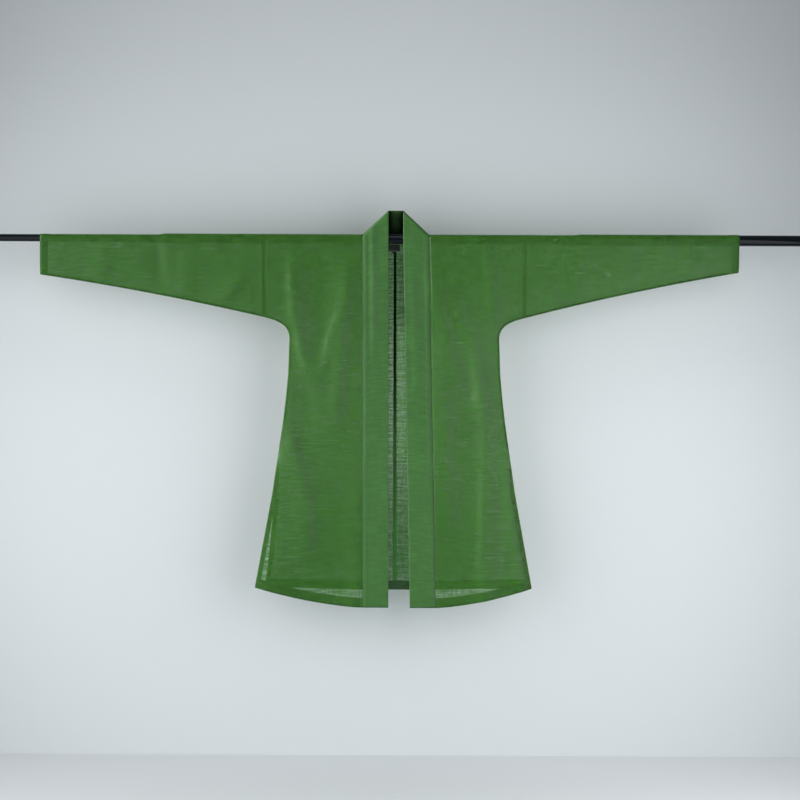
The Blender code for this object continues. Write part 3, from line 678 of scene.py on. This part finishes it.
# How far in from a sewn edge its allowances begin and end
ALLOWANCE_EDGES = (0.0007, 0.0058)
ALLOWANCE_PITCH = 0.004
ALLOWANCE_COLUMNS = 4
DOUBLED_CLOTH = 0.0011
BACK_HEM_FACING = 0.023
# The centre-back seam's left and right edges: each one's reach at the top and at the hem
BACK_SEAM_TOP = 0.0345
BACK_SEAM_EDGES = ((0.0022, 0.0008), (0.0043, 0.0082))
BACK_SEAM_ROWS = 120
TACK_HEIGHT = 0.003
TACK_EDGES = (0.0077, 0.0034)
TACK_ROWS = 3
NORMAL_STEP = 0.0004


def inside_body(side, face, reach, drop):
    """Points just inside the front or the back, on the outer side of what lies against the cloth there."""
    near, far = (body_point(side, face, reach + way * NORMAL_STEP, drop) for way in (-1, 1))
    above, below = (body_point(side, face, reach, drop + way * NORMAL_STEP) for way in (-1, 1))
    normal = np.cross(near - far, below - above)
    normal /= np.linalg.norm(normal, axis=-1, keepdims=True)
    normal *= np.where(normal[..., 1:2] * face < 0, -1.0, 1.0)
    return body_point(side, face, reach, drop) - normal * (CLOTH + EASE)


def back_strip(drop, left_edge, right_edge):
    """A grid inside the back, from left_edge on its left half to right_edge on its right half."""
    left = inside_body(LEFT, 1, left_edge * np.array([[1.0, 0.5, 0.0]]), drop)
    right = inside_body(RIGHT, 1, right_edge * np.array([[0.5, 1.0]]), drop)
    return Grid(np.concatenate([left, right], 1))


def make_centre_back_seam(material):
    """The allowances of the back's two halves, and the tack at their top."""
    drop = np.linspace(BACK_SEAM_TOP, HEM_BACK - BACK_HEM_FACING, BACK_SEAM_ROWS)[:, None]
    share = (drop - BACK_SEAM_TOP) / (HEM_BACK - BACK_SEAM_TOP)
    left_edge, right_edge = (top + (bottom - top) * share for top, bottom in BACK_SEAM_EDGES)
    tack_drop = np.linspace(BACK_SEAM_TOP - TACK_HEIGHT, BACK_SEAM_TOP, TACK_ROWS)[:, None]
    grids = [back_strip(drop, left_edge, right_edge), back_strip(tack_drop, *TACK_EDGES)]
    return cloth_piece(
        "centre_back_seam_fold", grids, DOUBLED_CLOTH, material, "cloth_doubled", "centre_back_seam"
    )


def allowance_strip(name, side, path, material):
    """A seam's two allowances, pressed together: a flat strip just inside a sewn edge, between the layers.

    path holds the (reach, drop) of the seam, with the garment on the right of someone who follows it.
    """
    along = np.gradient(path, axis=0)
    along /= np.linalg.norm(along, axis=1, keepdims=True)
    inwards = np.stack([-along[:, 1], along[:, 0]], -1)
    offsets = np.linspace(*ALLOWANCE_EDGES, ALLOWANCE_COLUMNS)
    places = path[:, None] + inwards[:, None] * offsets[None, :, None]
    reach, drop = places[..., 0], places[..., 1]
    points = at_reach(side, reach, np.full(reach.shape, -CLOTH), -drop)
    return cloth_piece(name, [Grid(points)], 2 * CLOTH, material, "cloth_doubled")


def make_side_seam_allowance(side, material):
    """The pressed allowances along one underarm and side, down to the slit."""
    levels = np.arange(SEAM_DROP, SLIT_TOP, ALLOWANCE_PITCH)
    underarm = np.array(UNDERARM_ROWS)
    levels = levels[levels > underarm[-1, 1]]
    path = np.concatenate([underarm, np.stack([side_reach(levels), levels], -1)])
    return allowance_strip(f"side_seam_allowance_{side.name}", side, path, material)


# The body's two halves, each one length of the half-sheer ramie from the front hem over the rod to the back
# hem. On each side of the neck the front ends at the collar band; the back runs on to the centre seam.
BODY_GREEN = "#2f591d"


def make_body(side, material):
    """One half, row by row from the front hem up, over the rod and down the back."""
    levels = body_levels()
    columns = np.arange(SIDE_COLUMNS + MIDDLE_COLUMNS + 1, dtype=float)[None]
    angles = np.linspace(0, math.pi, ARC_STEPS + 1)[:, None]
    front_place = grid_place(side, -1, levels[::-1, None], columns)
    back_place = grid_place(side, 1, levels[:, None], columns)
    middle = over_rod(side, angles, columns)
    points = np.concatenate([body_point(side, -1, *front_place), middle, body_point(side, 1, *back_place)])
    quarter = BODY_LOOP * math.pi / 2
    over = (angles - math.pi / 2) * BODY_LOOP + 0.0 * columns
    warp = np.concatenate([-front_place[1] - quarter, over, back_place[1] + quarter])
    grain = np.stack([points[..., 0], warp], -1)
    row, column = np.indices((len(points) - 1, columns.size - 1))
    keep = (column < SIDE_COLUMNS) | (row >= len(levels) + ARC_STEPS // 2)
    grids = [Grid(points, grain, keep)]
    return cloth_piece(f"body_{side.name}_half", grids, CLOTH, material, "cloth", "body_" + side.name)


single_ramie = ramie(
    "green_ramie_plain_weave", BODY_GREEN, clear=0.46, unevenness=0.21, passed=0.27, streaks=0.20, gloss=0.18
)
# Painted shade by height: the seam is drawn darkest near the neck and lighter down to the hem
centre_seam_ramie = ramie(
    "green_ramie_pressed_seam",
    CENTRE_SEAM_GREEN,
    clear=0.01,
    unevenness=0.01,
    passed=0.01,
    streaks=0.12,
    gloss=0.02,
    painted_shade_top=(-0.28, 0.02),
)
allowance_ramie = ramie(
    "green_ramie_seam_allowance", ALLOWANCE_SHADED_GREEN, clear=0.05, unevenness=0.03, passed=0.10, streaks=0.15
)
for side in SIDES:
    with_pieces = [make_side_seam_allowance(side, allowance_ramie)]
    if side is LEFT:
        with_pieces.append(make_centre_back_seam(centre_seam_ramie))
    make_body(side, single_ramie)


# The sleeves: one length of the same cloth each, folded over the rod and closed below, and sewn to the
# body well outside the shoulder. They narrow evenly to the cuff and lie almost flat.
SLEEVE_HOLLOW = 0.006
SLEEVE_STEPS = 110
SLEEVE_CROWDING = 1.35
SLEEVE_ARC = 12
SLEEVE_FLANK = 26
SLEEVE_AROUND = 2 * SLEEVE_FLANK + SLEEVE_ARC
SLEEVE_TURNS = np.arange(SLEEVE_AROUND + 1)[None] / SLEEVE_AROUND
CUFF_FACING = 0.018
CUFF_RAMP = 0.010
LOOP_RAMP = 0.015
UNDERSEAM_ROWS = 90
ARMHOLE_ALLOWANCE = {"left": 0.0045, "right": 0.0055}
ARMHOLE_TOP = 0.004
ARMHOLE_ROWS = 60
ARMHOLE_COLUMNS = 9


def sleeve_drop(side, reach):
    """The sleeve's underside, from the cuff to the body, a little hollow between them."""
    share = (reach - SLEEVE_SEAM) / (side.sleeve_end - SLEEVE_SEAM)
    straight = SEAM_DROP + (side.cuff_drop - SEAM_DROP) * share
    return straight - SLEEVE_HOLLOW * 4 * share * (1 - share)


def sleeve_loop(side, reach):
    """The radius of the sleeve's outer side over the rod, whose tubes differ in size."""
    inner, outer = rod_radius["middle"], rod_radius[side.name]
    ramp_start = side.rod_joint if outer < inner else side.rod_joint - LOOP_RAMP
    radius = inner + (outer - inner) * smooth((reach - ramp_start) / LOOP_RAMP)
    cuff = (CLOTH + EASE) * smooth((reach - side.sleeve_end + CUFF_FACING + CUFF_RAMP) / CUFF_RAMP)
    return radius + EASE + CLOTH + cuff


def sleeve_flank(side, face, reach, drop):
    """Points on the outer side of the sleeve's front (face -1) or back (face 1), below the rod's axis."""
    reach, drop = np.broadcast_arrays(reach, drop)
    panel = ("front_sleeve_" if face < 0 else "back_sleeve_") + side.name
    lowest = sleeve_drop(side, reach)
    height = np.maximum(lowest - drop, 0.0)
    share = np.arccosh(1 + height / ROUNDNESS) / np.arccosh(1 + lowest / ROUNDNESS)
    relief = crease_depth(panel, reach, drop) + pucker(reach - SLEEVE_SEAM)
    relief *= smooth(height / CREASE_EDGE)
    return at_reach(side, reach, face * (sleeve_loop(side, reach) * share + relief), -drop)


def sleeve_point(side, reach, turn):
    """Points of the sleeve's outer side. turn runs from 0 below, over the rod at 0.5, to 1 below again."""
    reach, turn = np.broadcast_arrays(reach, turn % 1)
    lowest = sleeve_drop(side, reach)
    steps = np.abs(turn - 0.5) * SLEEVE_AROUND
    share = np.clip(1 - (steps - SLEEVE_ARC / 2) / SLEEVE_FLANK, 0.0, 1.0)
    drop = lowest - ROUNDNESS * (np.cosh(np.arccosh(1 + lowest / ROUNDNESS) * share) - 1)
    front, back = (sleeve_flank(side, face, reach, drop) for face in (-1, 1))
    face = np.where(turn < 0.5, -1.0, 1.0)
    angle = math.pi / 2 + face * np.minimum(steps, SLEEVE_ARC / 2) * math.pi / SLEEVE_ARC
    loop = sleeve_loop(side, reach) + np.maximum(pucker(reach - SLEEVE_SEAM), 0.0)
    over = at_reach(side, reach, -loop * np.cos(angle), loop * np.sin(angle))
    flank = np.where((face < 0)[..., None], front, back)
    return np.where((steps > SLEEVE_ARC / 2)[..., None], flank, over)


def lengths_along(points):
    """The length of cloth from each row's first point to each of its points."""
    steps = np.linalg.norm(np.diff(points, axis=1), axis=-1)
    return np.concatenate([np.zeros((len(points), 1)), steps.cumsum(1)], 1)


def make_sleeve_seam_allowance(side, material):
    """The pressed allowances along one sleeve's underside."""
    reach = np.linspace(side.sleeve_end - CUFF_FACING, SLEEVE_SEAM, UNDERSEAM_ROWS)
    path = np.stack([reach, sleeve_drop(side, reach)], -1)
    return allowance_strip(f"sleeve_seam_allowance_{side.name}", side, path, material)


def make_armhole_allowance(side, material):
    """The allowances where the sleeve joins the body, pressed open on both sides of the seam."""
    grids = []
    width = ARMHOLE_ALLOWANCE[side.name]
    reach = SLEEVE_SEAM + np.linspace(-width, width, ARMHOLE_COLUMNS)[None]
    for face in (-1, 1):
        drop = np.linspace(ARMHOLE_TOP, SEAM_DROP - width, ARMHOLE_ROWS)[:, None]
        sleeve = sleeve_flank(side, face, reach, drop)
        points = np.where((reach > SLEEVE_SEAM)[..., None], sleeve, body_point(side, face, reach, drop))
        points[..., 1] -= face * (CLOTH + EASE)
        grids.append(Grid(points))
    return cloth_piece(f"armhole_allowance_{side.name}", grids, CLOTH, material, "cloth_doubled")


def make_sleeve(side, material):
    """One sleeve, row by row from the armhole to the cuff. Each row runs once round it."""
    length = side.sleeve_end - SLEEVE_SEAM
    share = np.linspace(0, 1, SLEEVE_STEPS + 1)[:, None] ** SLEEVE_CROWDING
    points = sleeve_point(side, SLEEVE_SEAM + length * share, SLEEVE_TURNS)
    run = lengths_along(points)
    grids = [Grid(points, np.stack([points[..., 0], run - run[:, SLEEVE_AROUND // 2, None]], -1), ring=True)]
    cloth_piece(f"sleeve_{side.name}_tube", grids, CLOTH, material, "cloth", "sleeve_" + side.name)


for side in SIDES:
    allowances = [
        make_sleeve_seam_allowance(side, allowance_ramie),
        make_armhole_allowance(side, allowance_ramie),
    ]
    make_sleeve(side, single_ramie)


# The collar band: one straight strip, folded in two lengthways, that runs up one front, round the back of
# the neck and down the other. At each shoulder it turns from upright to level along a slanting fold. Its
# long edges are pressed, but not sharp.
BAND_GREEN = "#2c5323"
BAND_WIDTH = 0.0665
COLLAR_RISE = 0.062
COLLAR_TIP_RADIUS = 0.009
FOLD_START = 0.0006
BAND_ROD = 0.70
BAND_FOLD = 0.75
BAND_STEPS = 230
FOLD_STEPS = 28
BACK_BAND_STEPS = 12
BAND_COLUMNS = 28
BAND_STAND = 0.0006
EDGE_ROUND = 0.0010
EDGE_WIDTH = 0.0035


def band_lean(height):
    """Half the collar's depth above the rod, from the rod's own loop in to the folded tip."""
    share = np.clip((height - BODY_LOOP) / COLLAR_RISE, 0.0, 1.0)
    return BODY_LOOP + (COLLAR_TIP_RADIUS - BODY_LOOP) * share


def band_relief(side, across, drop):
    """How far the strip stands out from the front's own surface, which is less at its pressed edges."""
    from_edge = np.minimum(across, 1 - across) * BAND_WIDTH / EDGE_WIDTH
    rounded = EDGE_ROUND * (1 - np.sqrt(1 - (1 - np.clip(from_edge, 0.0, 1.0)) ** 2))
    return BAND_STAND - rounded + crease_depth("band_" + side.name, across * BAND_WIDTH, drop)


def band_point(side, station, across):
    """Points of the collar band's outer side.

    station runs from 0 at the front hem, past BAND_ROD over the rod and BAND_FOLD where the strip starts
    to turn, to 1 at the shoulder's fold and 2 at the centre back. across runs from 0 at the seam to 1 at
    the free edge. The strip turns from upright to level along a slanting fold.
    """
    station, across = np.broadcast_arrays(station, across)
    width = BAND_WIDTH * across
    fold_height = BODY_LOOP + FOLD_START * (1 - across) + COLLAR_RISE * across
    radius = band_lean(fold_height)
    turned = np.minimum(np.abs(1 - station) / (1 - BAND_FOLD), 1.0) * math.pi / 2
    turned_in = radius * (1 - np.cos(turned))
    reach = side.neck - width - turned_in
    reach = reach * (1 - np.maximum(station - 2 + BAND_FOLD, 0) / BAND_FOLD)
    behind = at_reach(side, reach, radius * np.sin(turned), fold_height)
    height = fold_height - turned_in
    over = np.minimum(BODY_LOOP, height - COLLAR_TIP_RADIUS)
    below = -HEM_FRONT + (over + HEM_FRONT) * station / BAND_ROD
    height = np.where(station < BAND_ROD, below, np.where(station < BAND_FOLD, over, height))
    drop = np.maximum(-height, 0.0)
    reach = front_reach(side, drop) - width
    depth = np.where(height < 0, -body_point(side, -1, reach, drop)[..., 1], band_lean(height))
    depth = depth + band_relief(side, across, drop)
    ahead = at_reach(side, reach, -depth * np.sin(turned), height)
    return np.where((station > 1)[..., None], behind, ahead)


def make_collar_band(material):
    """The whole strip, from the left front's hem round the neck to the right front's."""
    front = [BAND_ROD * k / BAND_STEPS for k in range(BAND_STEPS + 1)]
    fold = [BAND_FOLD + 2 * (1 - BAND_FOLD) * k / FOLD_STEPS for k in range(FOLD_STEPS + 1)]
    back = [2 - BAND_FOLD + BAND_FOLD * k / BACK_BAND_STEPS for k in range(1, BACK_BAND_STEPS)]
    up = np.array([*front, *fold, *back])[:, None]
    shares = (1 - np.cos(np.linspace(0, math.pi, BAND_COLUMNS + 1))) / 2
    halves = [band_point(LEFT, np.append(up, [[2.0]], 0), shares), band_point(RIGHT, up[::-1], shares)]
    points = np.concatenate(halves)
    run = lengths_along(points[None, :, BAND_COLUMNS // 2])[0]
    grids = [Grid(points, np.stack(np.broadcast_arrays(shares[None] * BAND_WIDTH, run[:, None]), -1))]
    piece = cloth_piece("collar_band_strip", grids, DOUBLED_CLOTH, material, "cloth_doubled", "collar_band")


# Painted shade darkens the band where cloth closes round it, most inside the back of the collar
double_ramie = ramie(
    "green_ramie_doubled_and_pressed",
    BAND_GREEN,
    clear=0.01,
    unevenness=0.01,
    passed=0.08,
    streaks=0.24,
    painted_hollow_shade=6.0,
)
make_collar_band(double_ramie)


# The facings: narrow strips turned to the inside along the hems, the side slits and the cuffs. Through
# the half-sheer cloth they show as darker borders, as they hold back the light from behind, and painted
# shade draws them darker still.
# The facings' colour, darker than the cloth's own: painted shade
FACING_SHADED_GREEN = "#1f401c"
FRONT_HEM_FACING = 0.025
SLIT_FACING = 0.012
SLIT_FACING_TOP = 0.590
SLIT_FACING_NARROW = 0.006
SLIT_FACING_TAPER = 0.09
EDGE_INSET = 0.0005
FACING_ROWS = 6
SLIT_FACING_ROWS = 40
SLIT_FACING_COLUMNS = 6
CUFF_FACING_ROWS = 5


def make_hem_facing(name, sides, face, depth, material):
    """A strip inside the hem of one front, or of the whole back from left to right."""
    last = SIDE_COLUMNS if face < 0 else SIDE_COLUMNS + MIDDLE_COLUMNS
    halves = []
    for side in sides:
        columns = np.arange(last + 1, dtype=float)[None]
        _, bottom = grid_place(side, face, np.array([[HEM_SIDE]]), columns)
        drop = bottom - depth * np.linspace(0, 1, FACING_ROWS + 1)[:, None]
        reach = column_reach(side, face, drop, columns) - EDGE_INSET * (columns == 0)
        halves.append(inside_body(side, face, reach, drop))
    if len(halves) > 1:
        halves[1] = halves[1][:, -2::-1]
    points = np.concatenate(halves, 1)
    piece = cloth_piece(name + "_strip", [Grid(points)], CLOTH, material, "cloth_doubled", name)
    width = lengths_along(points)[0, -1]


def make_slit_facing(side, face, material):
    """A strip inside a free side edge, from below the slit's top to the hem facing."""
    depth = FRONT_HEM_FACING if face < 0 else BACK_HEM_FACING
    insets = np.linspace(EDGE_INSET, SLIT_FACING, SLIT_FACING_COLUMNS)[None]
    bottom = hem_drop(side, face, side_reach(HEM_SIDE) - insets) - depth
    drop = SLIT_FACING_TOP + (bottom - SLIT_FACING_TOP) * np.linspace(0, 1, SLIT_FACING_ROWS)[:, None]
    narrow = SLIT_FACING_NARROW / SLIT_FACING
    insets = insets * (narrow + (1 - narrow) * smooth((drop - SLIT_FACING_TOP) / SLIT_FACING_TAPER))
    reach = side_reach(drop) - swing(side, face, drop) - insets
    name = ("slit_facing_front_" if face < 0 else "slit_facing_back_") + side.name
    grids = [Grid(inside_body(side, face, reach, drop))]
    piece = cloth_piece(name + "_strip", grids, CLOTH, material, "cloth_doubled", name)


def make_cuff_facing(side, material):
    """A ring inside one sleeve's end."""
    ends = (side.sleeve_end - CUFF_FACING, side.sleeve_end - EDGE_INSET)
    reach = np.linspace(*ends, CUFF_FACING_ROWS)[:, None]
    here = sleeve_point(side, reach, SLEEVE_TURNS)
    step = 0.5 / SLEEVE_AROUND
    tangent = sleeve_point(side, reach, SLEEVE_TURNS + step) - sleeve_point(side, reach, SLEEVE_TURNS - step)
    normal = np.cross(tangent, np.array([1.0, 0, 0]))
    normal /= np.linalg.norm(normal, axis=-1, keepdims=True)
    middle = here - np.array([0, 0, -0.5]) * sleeve_drop(side, reach)[..., None]
    outwards = (normal * middle * np.array([0, 1.0, 1.0])).sum(-1, keepdims=True)
    normal *= np.where(outwards < 0, -1.0, 1.0)
    points = here - normal * (CLOTH + EASE)
    run = lengths_along(points)
    name = "cuff_facing_" + side.name
    grids = [Grid(points, np.stack([points[..., 0], run], -1), ring=True)]
    piece = cloth_piece(name + "_ring", grids, CLOTH, material, "cloth_doubled", name)


facing_ramie = ramie(
    "green_ramie_turned_edge_painted_shade", FACING_SHADED_GREEN, clear=0.20, unevenness=0.10, passed=0.15, streaks=0.10
)
make_hem_facing("back_hem_facing", SIDES, 1, BACK_HEM_FACING, facing_ramie)
for side in SIDES:
    make_hem_facing("front_hem_facing_" + side.name, (side,), -1, FRONT_HEM_FACING, facing_ramie)
    make_slit_facing(side, -1, facing_ramie)
    make_slit_facing(side, 1, facing_ramie)
    make_cuff_facing(side, facing_ramie)


# The neck label: a small tab of woven polyester tape, left bare, sewn inside the back neck. Its lower edge
# is turned up, and painted paler as a highlight.
LABEL_BLACK = "#0c120b"
# The colour of the turned-up edge, paler as a painted highlight
LABEL_FOLD_HIGHLIGHT = "#222c20"
LABEL_FOLD = 0.004
LABEL_COLUMNS = 13
LABEL_ROWS = 9
# A wave's bands lie 0.314 m apart, divided by its scale: these ribs are 0.45 mm apart
RIB_SCALE = 700.0


def label_cloth(fold_height):
    """Damask-woven polyester tape: near black and matt, with a fine rib, and a painted highlight that makes
    it paler where it is turned up.
    """
    material, tree = new_material("woven_polyester_tape")
    place = add_node(tree, "ShaderNodeTexCoord").outputs["Object"]
    rib = add_node(tree, "ShaderNodeTexWave", {"Vector": place, "Scale": RIB_SCALE, "Distortion": 1.0})
    height = add_node(tree, "ShaderNodeSeparateXYZ", {0: place}).outputs["Z"]
    fold_highlight_mask = add_node(tree, "ShaderNodeMath", {0: height, 1: fold_height}, operation="LESS_THAN")
    colours = {"Factor": fold_highlight_mask, "A": linear(LABEL_BLACK), "B": linear(LABEL_FOLD_HIGHLIGHT)}
    shade = add_node(tree, "ShaderNodeMix", colours, data_type="RGBA")
    return finish_plain(
        material, tree, shade.outputs["Result"], rib, roughness=0.8, strength=0.3, depth=0.0001
    )


def make_neck_label():
    """The tab, and a second layer in front of its lower end."""
    low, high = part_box("neck_label")
    fold = low.z + LABEL_FOLD
    across = np.linspace(low.x, high.x, LABEL_COLUMNS)[None]
    grids = []
    for top, stand in ((high.z, 0.0), (fold, CLOTH + EASE / 2)):
        height = np.linspace(top, low.z, LABEL_ROWS)[:, None]
        depth = BODY_LOOP - CLOTH - EASE - stand
        grids.append(Grid(np.stack(np.broadcast_arrays(across, depth, height), -1)))
    piece = cloth_piece("neck_label_tab", grids, CLOTH, label_cloth(fold), "label", "neck_label")


make_neck_label()


# The sewing, in dark green polyester thread: a running stitch sinks in along each seam that shows from
# outside, and small hemming stitches catch the facings' inner edges to the cloth. The thread is drawn
# twice as thick as the real 0.3 mm, which is too fine to show.
THREAD_GREEN = "#23451f"
THREAD_WIDTH = 0.0006
TWIST_SCALE = 900.0
STITCH_LENGTH = 0.0034
STITCH_PITCH = 0.0072
STITCH_INSET = 0.0015
BAND_STITCH_INSET = STITCH_INSET / 3
# The shortest and the longest stitch, as shares of the usual length
SHORTEST_STITCH = 0.8
LONGEST_STITCH = 1.15
STITCH_SEED = 7
# Where the rows of stitches begin and end, and how many points each row has
ARMHOLE_STITCH_TOP = 0.014
BAND_STITCH_TOP = 0.002
BACK_STITCH_TOP = 0.03
HEM_MARGIN = 0.001
CUFF_STITCH_TURNS = (0.01, 0.99)
LINE_POINTS = {"armhole": 60, "slit": 50, "seam": 160, "hem": 90, "cuff": 120}


def thread_polyester():
    """Spun polyester sewing thread: matt, dark green, with a fine twist."""
    material, tree = new_material("spun_polyester_thread")
    place = add_node(tree, "ShaderNodeTexCoord").outputs["Object"]
    inputs = {"Vector": place, "Scale": TWIST_SCALE}
    twist = add_node(tree, "ShaderNodeTexWave", inputs, bands_direction="DIAGONAL")
    return finish_plain(
        material, tree, linear(THREAD_GREEN), twist, roughness=0.7, strength=0.3, depth=0.0001
    )


def stitching():
    """A tree that turns lines into rows of stitches, and the identifiers of its inputs by name."""
    tree = bpy.data.node_groups.new("stitching", "GeometryNodeTree")
    sockets = {"Lines": "Geometry", "Pitch": "Float", "Length": "Float", "Width": "Float"}
    sockets.update({"Seed": "Int", "Thread": "Material"})
    keys = {}
    for name, kind in sockets.items():
        socket = tree.interface.new_socket(name, in_out="INPUT", socket_type="NodeSocket" + kind)
        keys[name] = socket.identifier
    tree.interface.new_socket("Stitches", in_out="OUTPUT", socket_type="NodeSocketGeometry")
    given = add_node(tree, "NodeGroupInput").outputs
    curve = add_node(tree, "GeometryNodeMeshToCurve", {"Mesh": given["Lines"]})
    spacing = {"Curve": curve, "Length": given["Pitch"]}
    even = add_node(tree, "GeometryNodeResampleCurve", spacing, mode="LENGTH")
    along = add_node(tree, "GeometryNodeInputTangent")
    turn = add_node(tree, "FunctionNodeAlignRotationToVector", {"Vector": along}, axis="Z")
    chance = {2: SHORTEST_STITCH, 3: LONGEST_STITCH, "Seed": given["Seed"]}
    share = add_node(tree, "FunctionNodeRandomValue", chance, data_type="FLOAT")
    product = {0: given["Length"], 1: share.outputs[1]}
    length = add_node(tree, "ShaderNodeMath", product, operation="MULTIPLY")
    size = add_node(tree, "ShaderNodeCombineXYZ", {"X": given["Width"], "Y": given["Width"], "Z": length})
    grain = add_node(tree, "GeometryNodeMeshIcoSphere", {"Radius": 0.5, "Subdivisions": 1})
    stitch = {"Points": even, "Instance": grain, "Rotation": turn, "Scale": size}
    placed = add_node(tree, "GeometryNodeInstanceOnPoints", stitch)
    real = add_node(tree, "GeometryNodeRealizeInstances", {0: placed})
    threaded = add_node(tree, "GeometryNodeSetMaterial", {"Geometry": real, "Material": given["Thread"]})
    add_node(tree, "NodeGroupOutput", {"Stitches": threaded})
    return tree, keys


def stitch_lines(side):
    """The rows of stitches on one side of the garment, each a row of points on the cloth's outer side."""
    armhole = np.linspace(ARMHOLE_STITCH_TOP, SEAM_DROP - STITCH_INSET, LINE_POINTS["armhole"])
    slit = np.linspace(SLIT_FACING_TOP, HEM_SIDE - BACK_HEM_FACING, LINE_POINTS["slit"])
    seam = np.linspace(BAND_STITCH_TOP, HEM_FRONT - HEM_MARGIN, LINE_POINTS["seam"])
    lines = [body_point(side, -1, front_reach(side, seam) + BAND_STITCH_INSET, seam)]
    for face, depth in ((-1, FRONT_HEM_FACING), (1, BACK_HEM_FACING)):
        lines.append(body_point(side, face, SLEEVE_SEAM, armhole))
        last = SIDE_COLUMNS + (MIDDLE_COLUMNS if face > 0 else 0)
        columns = np.linspace(0, last, LINE_POINTS["hem"])[None]
        _, bottom = grid_place(side, face, np.array([[HEM_SIDE]]), columns)
        drop = bottom - depth + STITCH_INSET
        lines.append(body_point(side, face, column_reach(side, face, drop, columns), drop)[0])
        inner = side_reach(slit) - swing(side, face, slit) - SLIT_FACING + STITCH_INSET
        lines.append(body_point(side, face, inner, slit))
    if side is LEFT:
        back = np.linspace(BACK_STITCH_TOP, HEM_BACK - HEM_MARGIN, LINE_POINTS["seam"])
        lines.append(body_point(side, 1, 0.0, back))
    cuff = side.sleeve_end - CUFF_FACING + STITCH_INSET
    lines.append(sleeve_point(side, cuff, np.linspace(*CUFF_STITCH_TURNS, LINE_POINTS["cuff"])))
    return lines


def make_stitches(lines):
    """All the stitches as one plain mesh, along rows of points."""
    mesh = bpy.data.meshes.new("stitch_lines")
    starts = np.cumsum([0] + [len(line) for line in lines])
    edges = []
    for first, last in zip(starts[:-1], starts[1:], strict=True):
        edges += [(k, k + 1) for k in range(first, last - 1)]
    mesh.from_pydata(np.concatenate(lines), edges, [])
    guide = new_object("stitch_lines", mesh)
    tree, keys = stitching()
    sewing = guide.modifiers.new("sewing", "NODES")
    sewing.node_group = tree
    sizes = {"Pitch": STITCH_PITCH, "Length": STITCH_LENGTH, "Width": THREAD_WIDTH}
    for name, value in {**sizes, "Seed": STITCH_SEED, "Thread": thread_polyester()}.items():
        sewing[keys[name]] = value
    sewn = bpy.data.meshes.new_from_object(guide.evaluated_get(bpy.context.evaluated_depsgraph_get()))
    bpy.data.objects.remove(guide)
    join_body(new_object("sewing_stitches", sewn), None, "cloth_doubled")


make_stitches([line for side in SIDES for line in stitch_lines(side)])
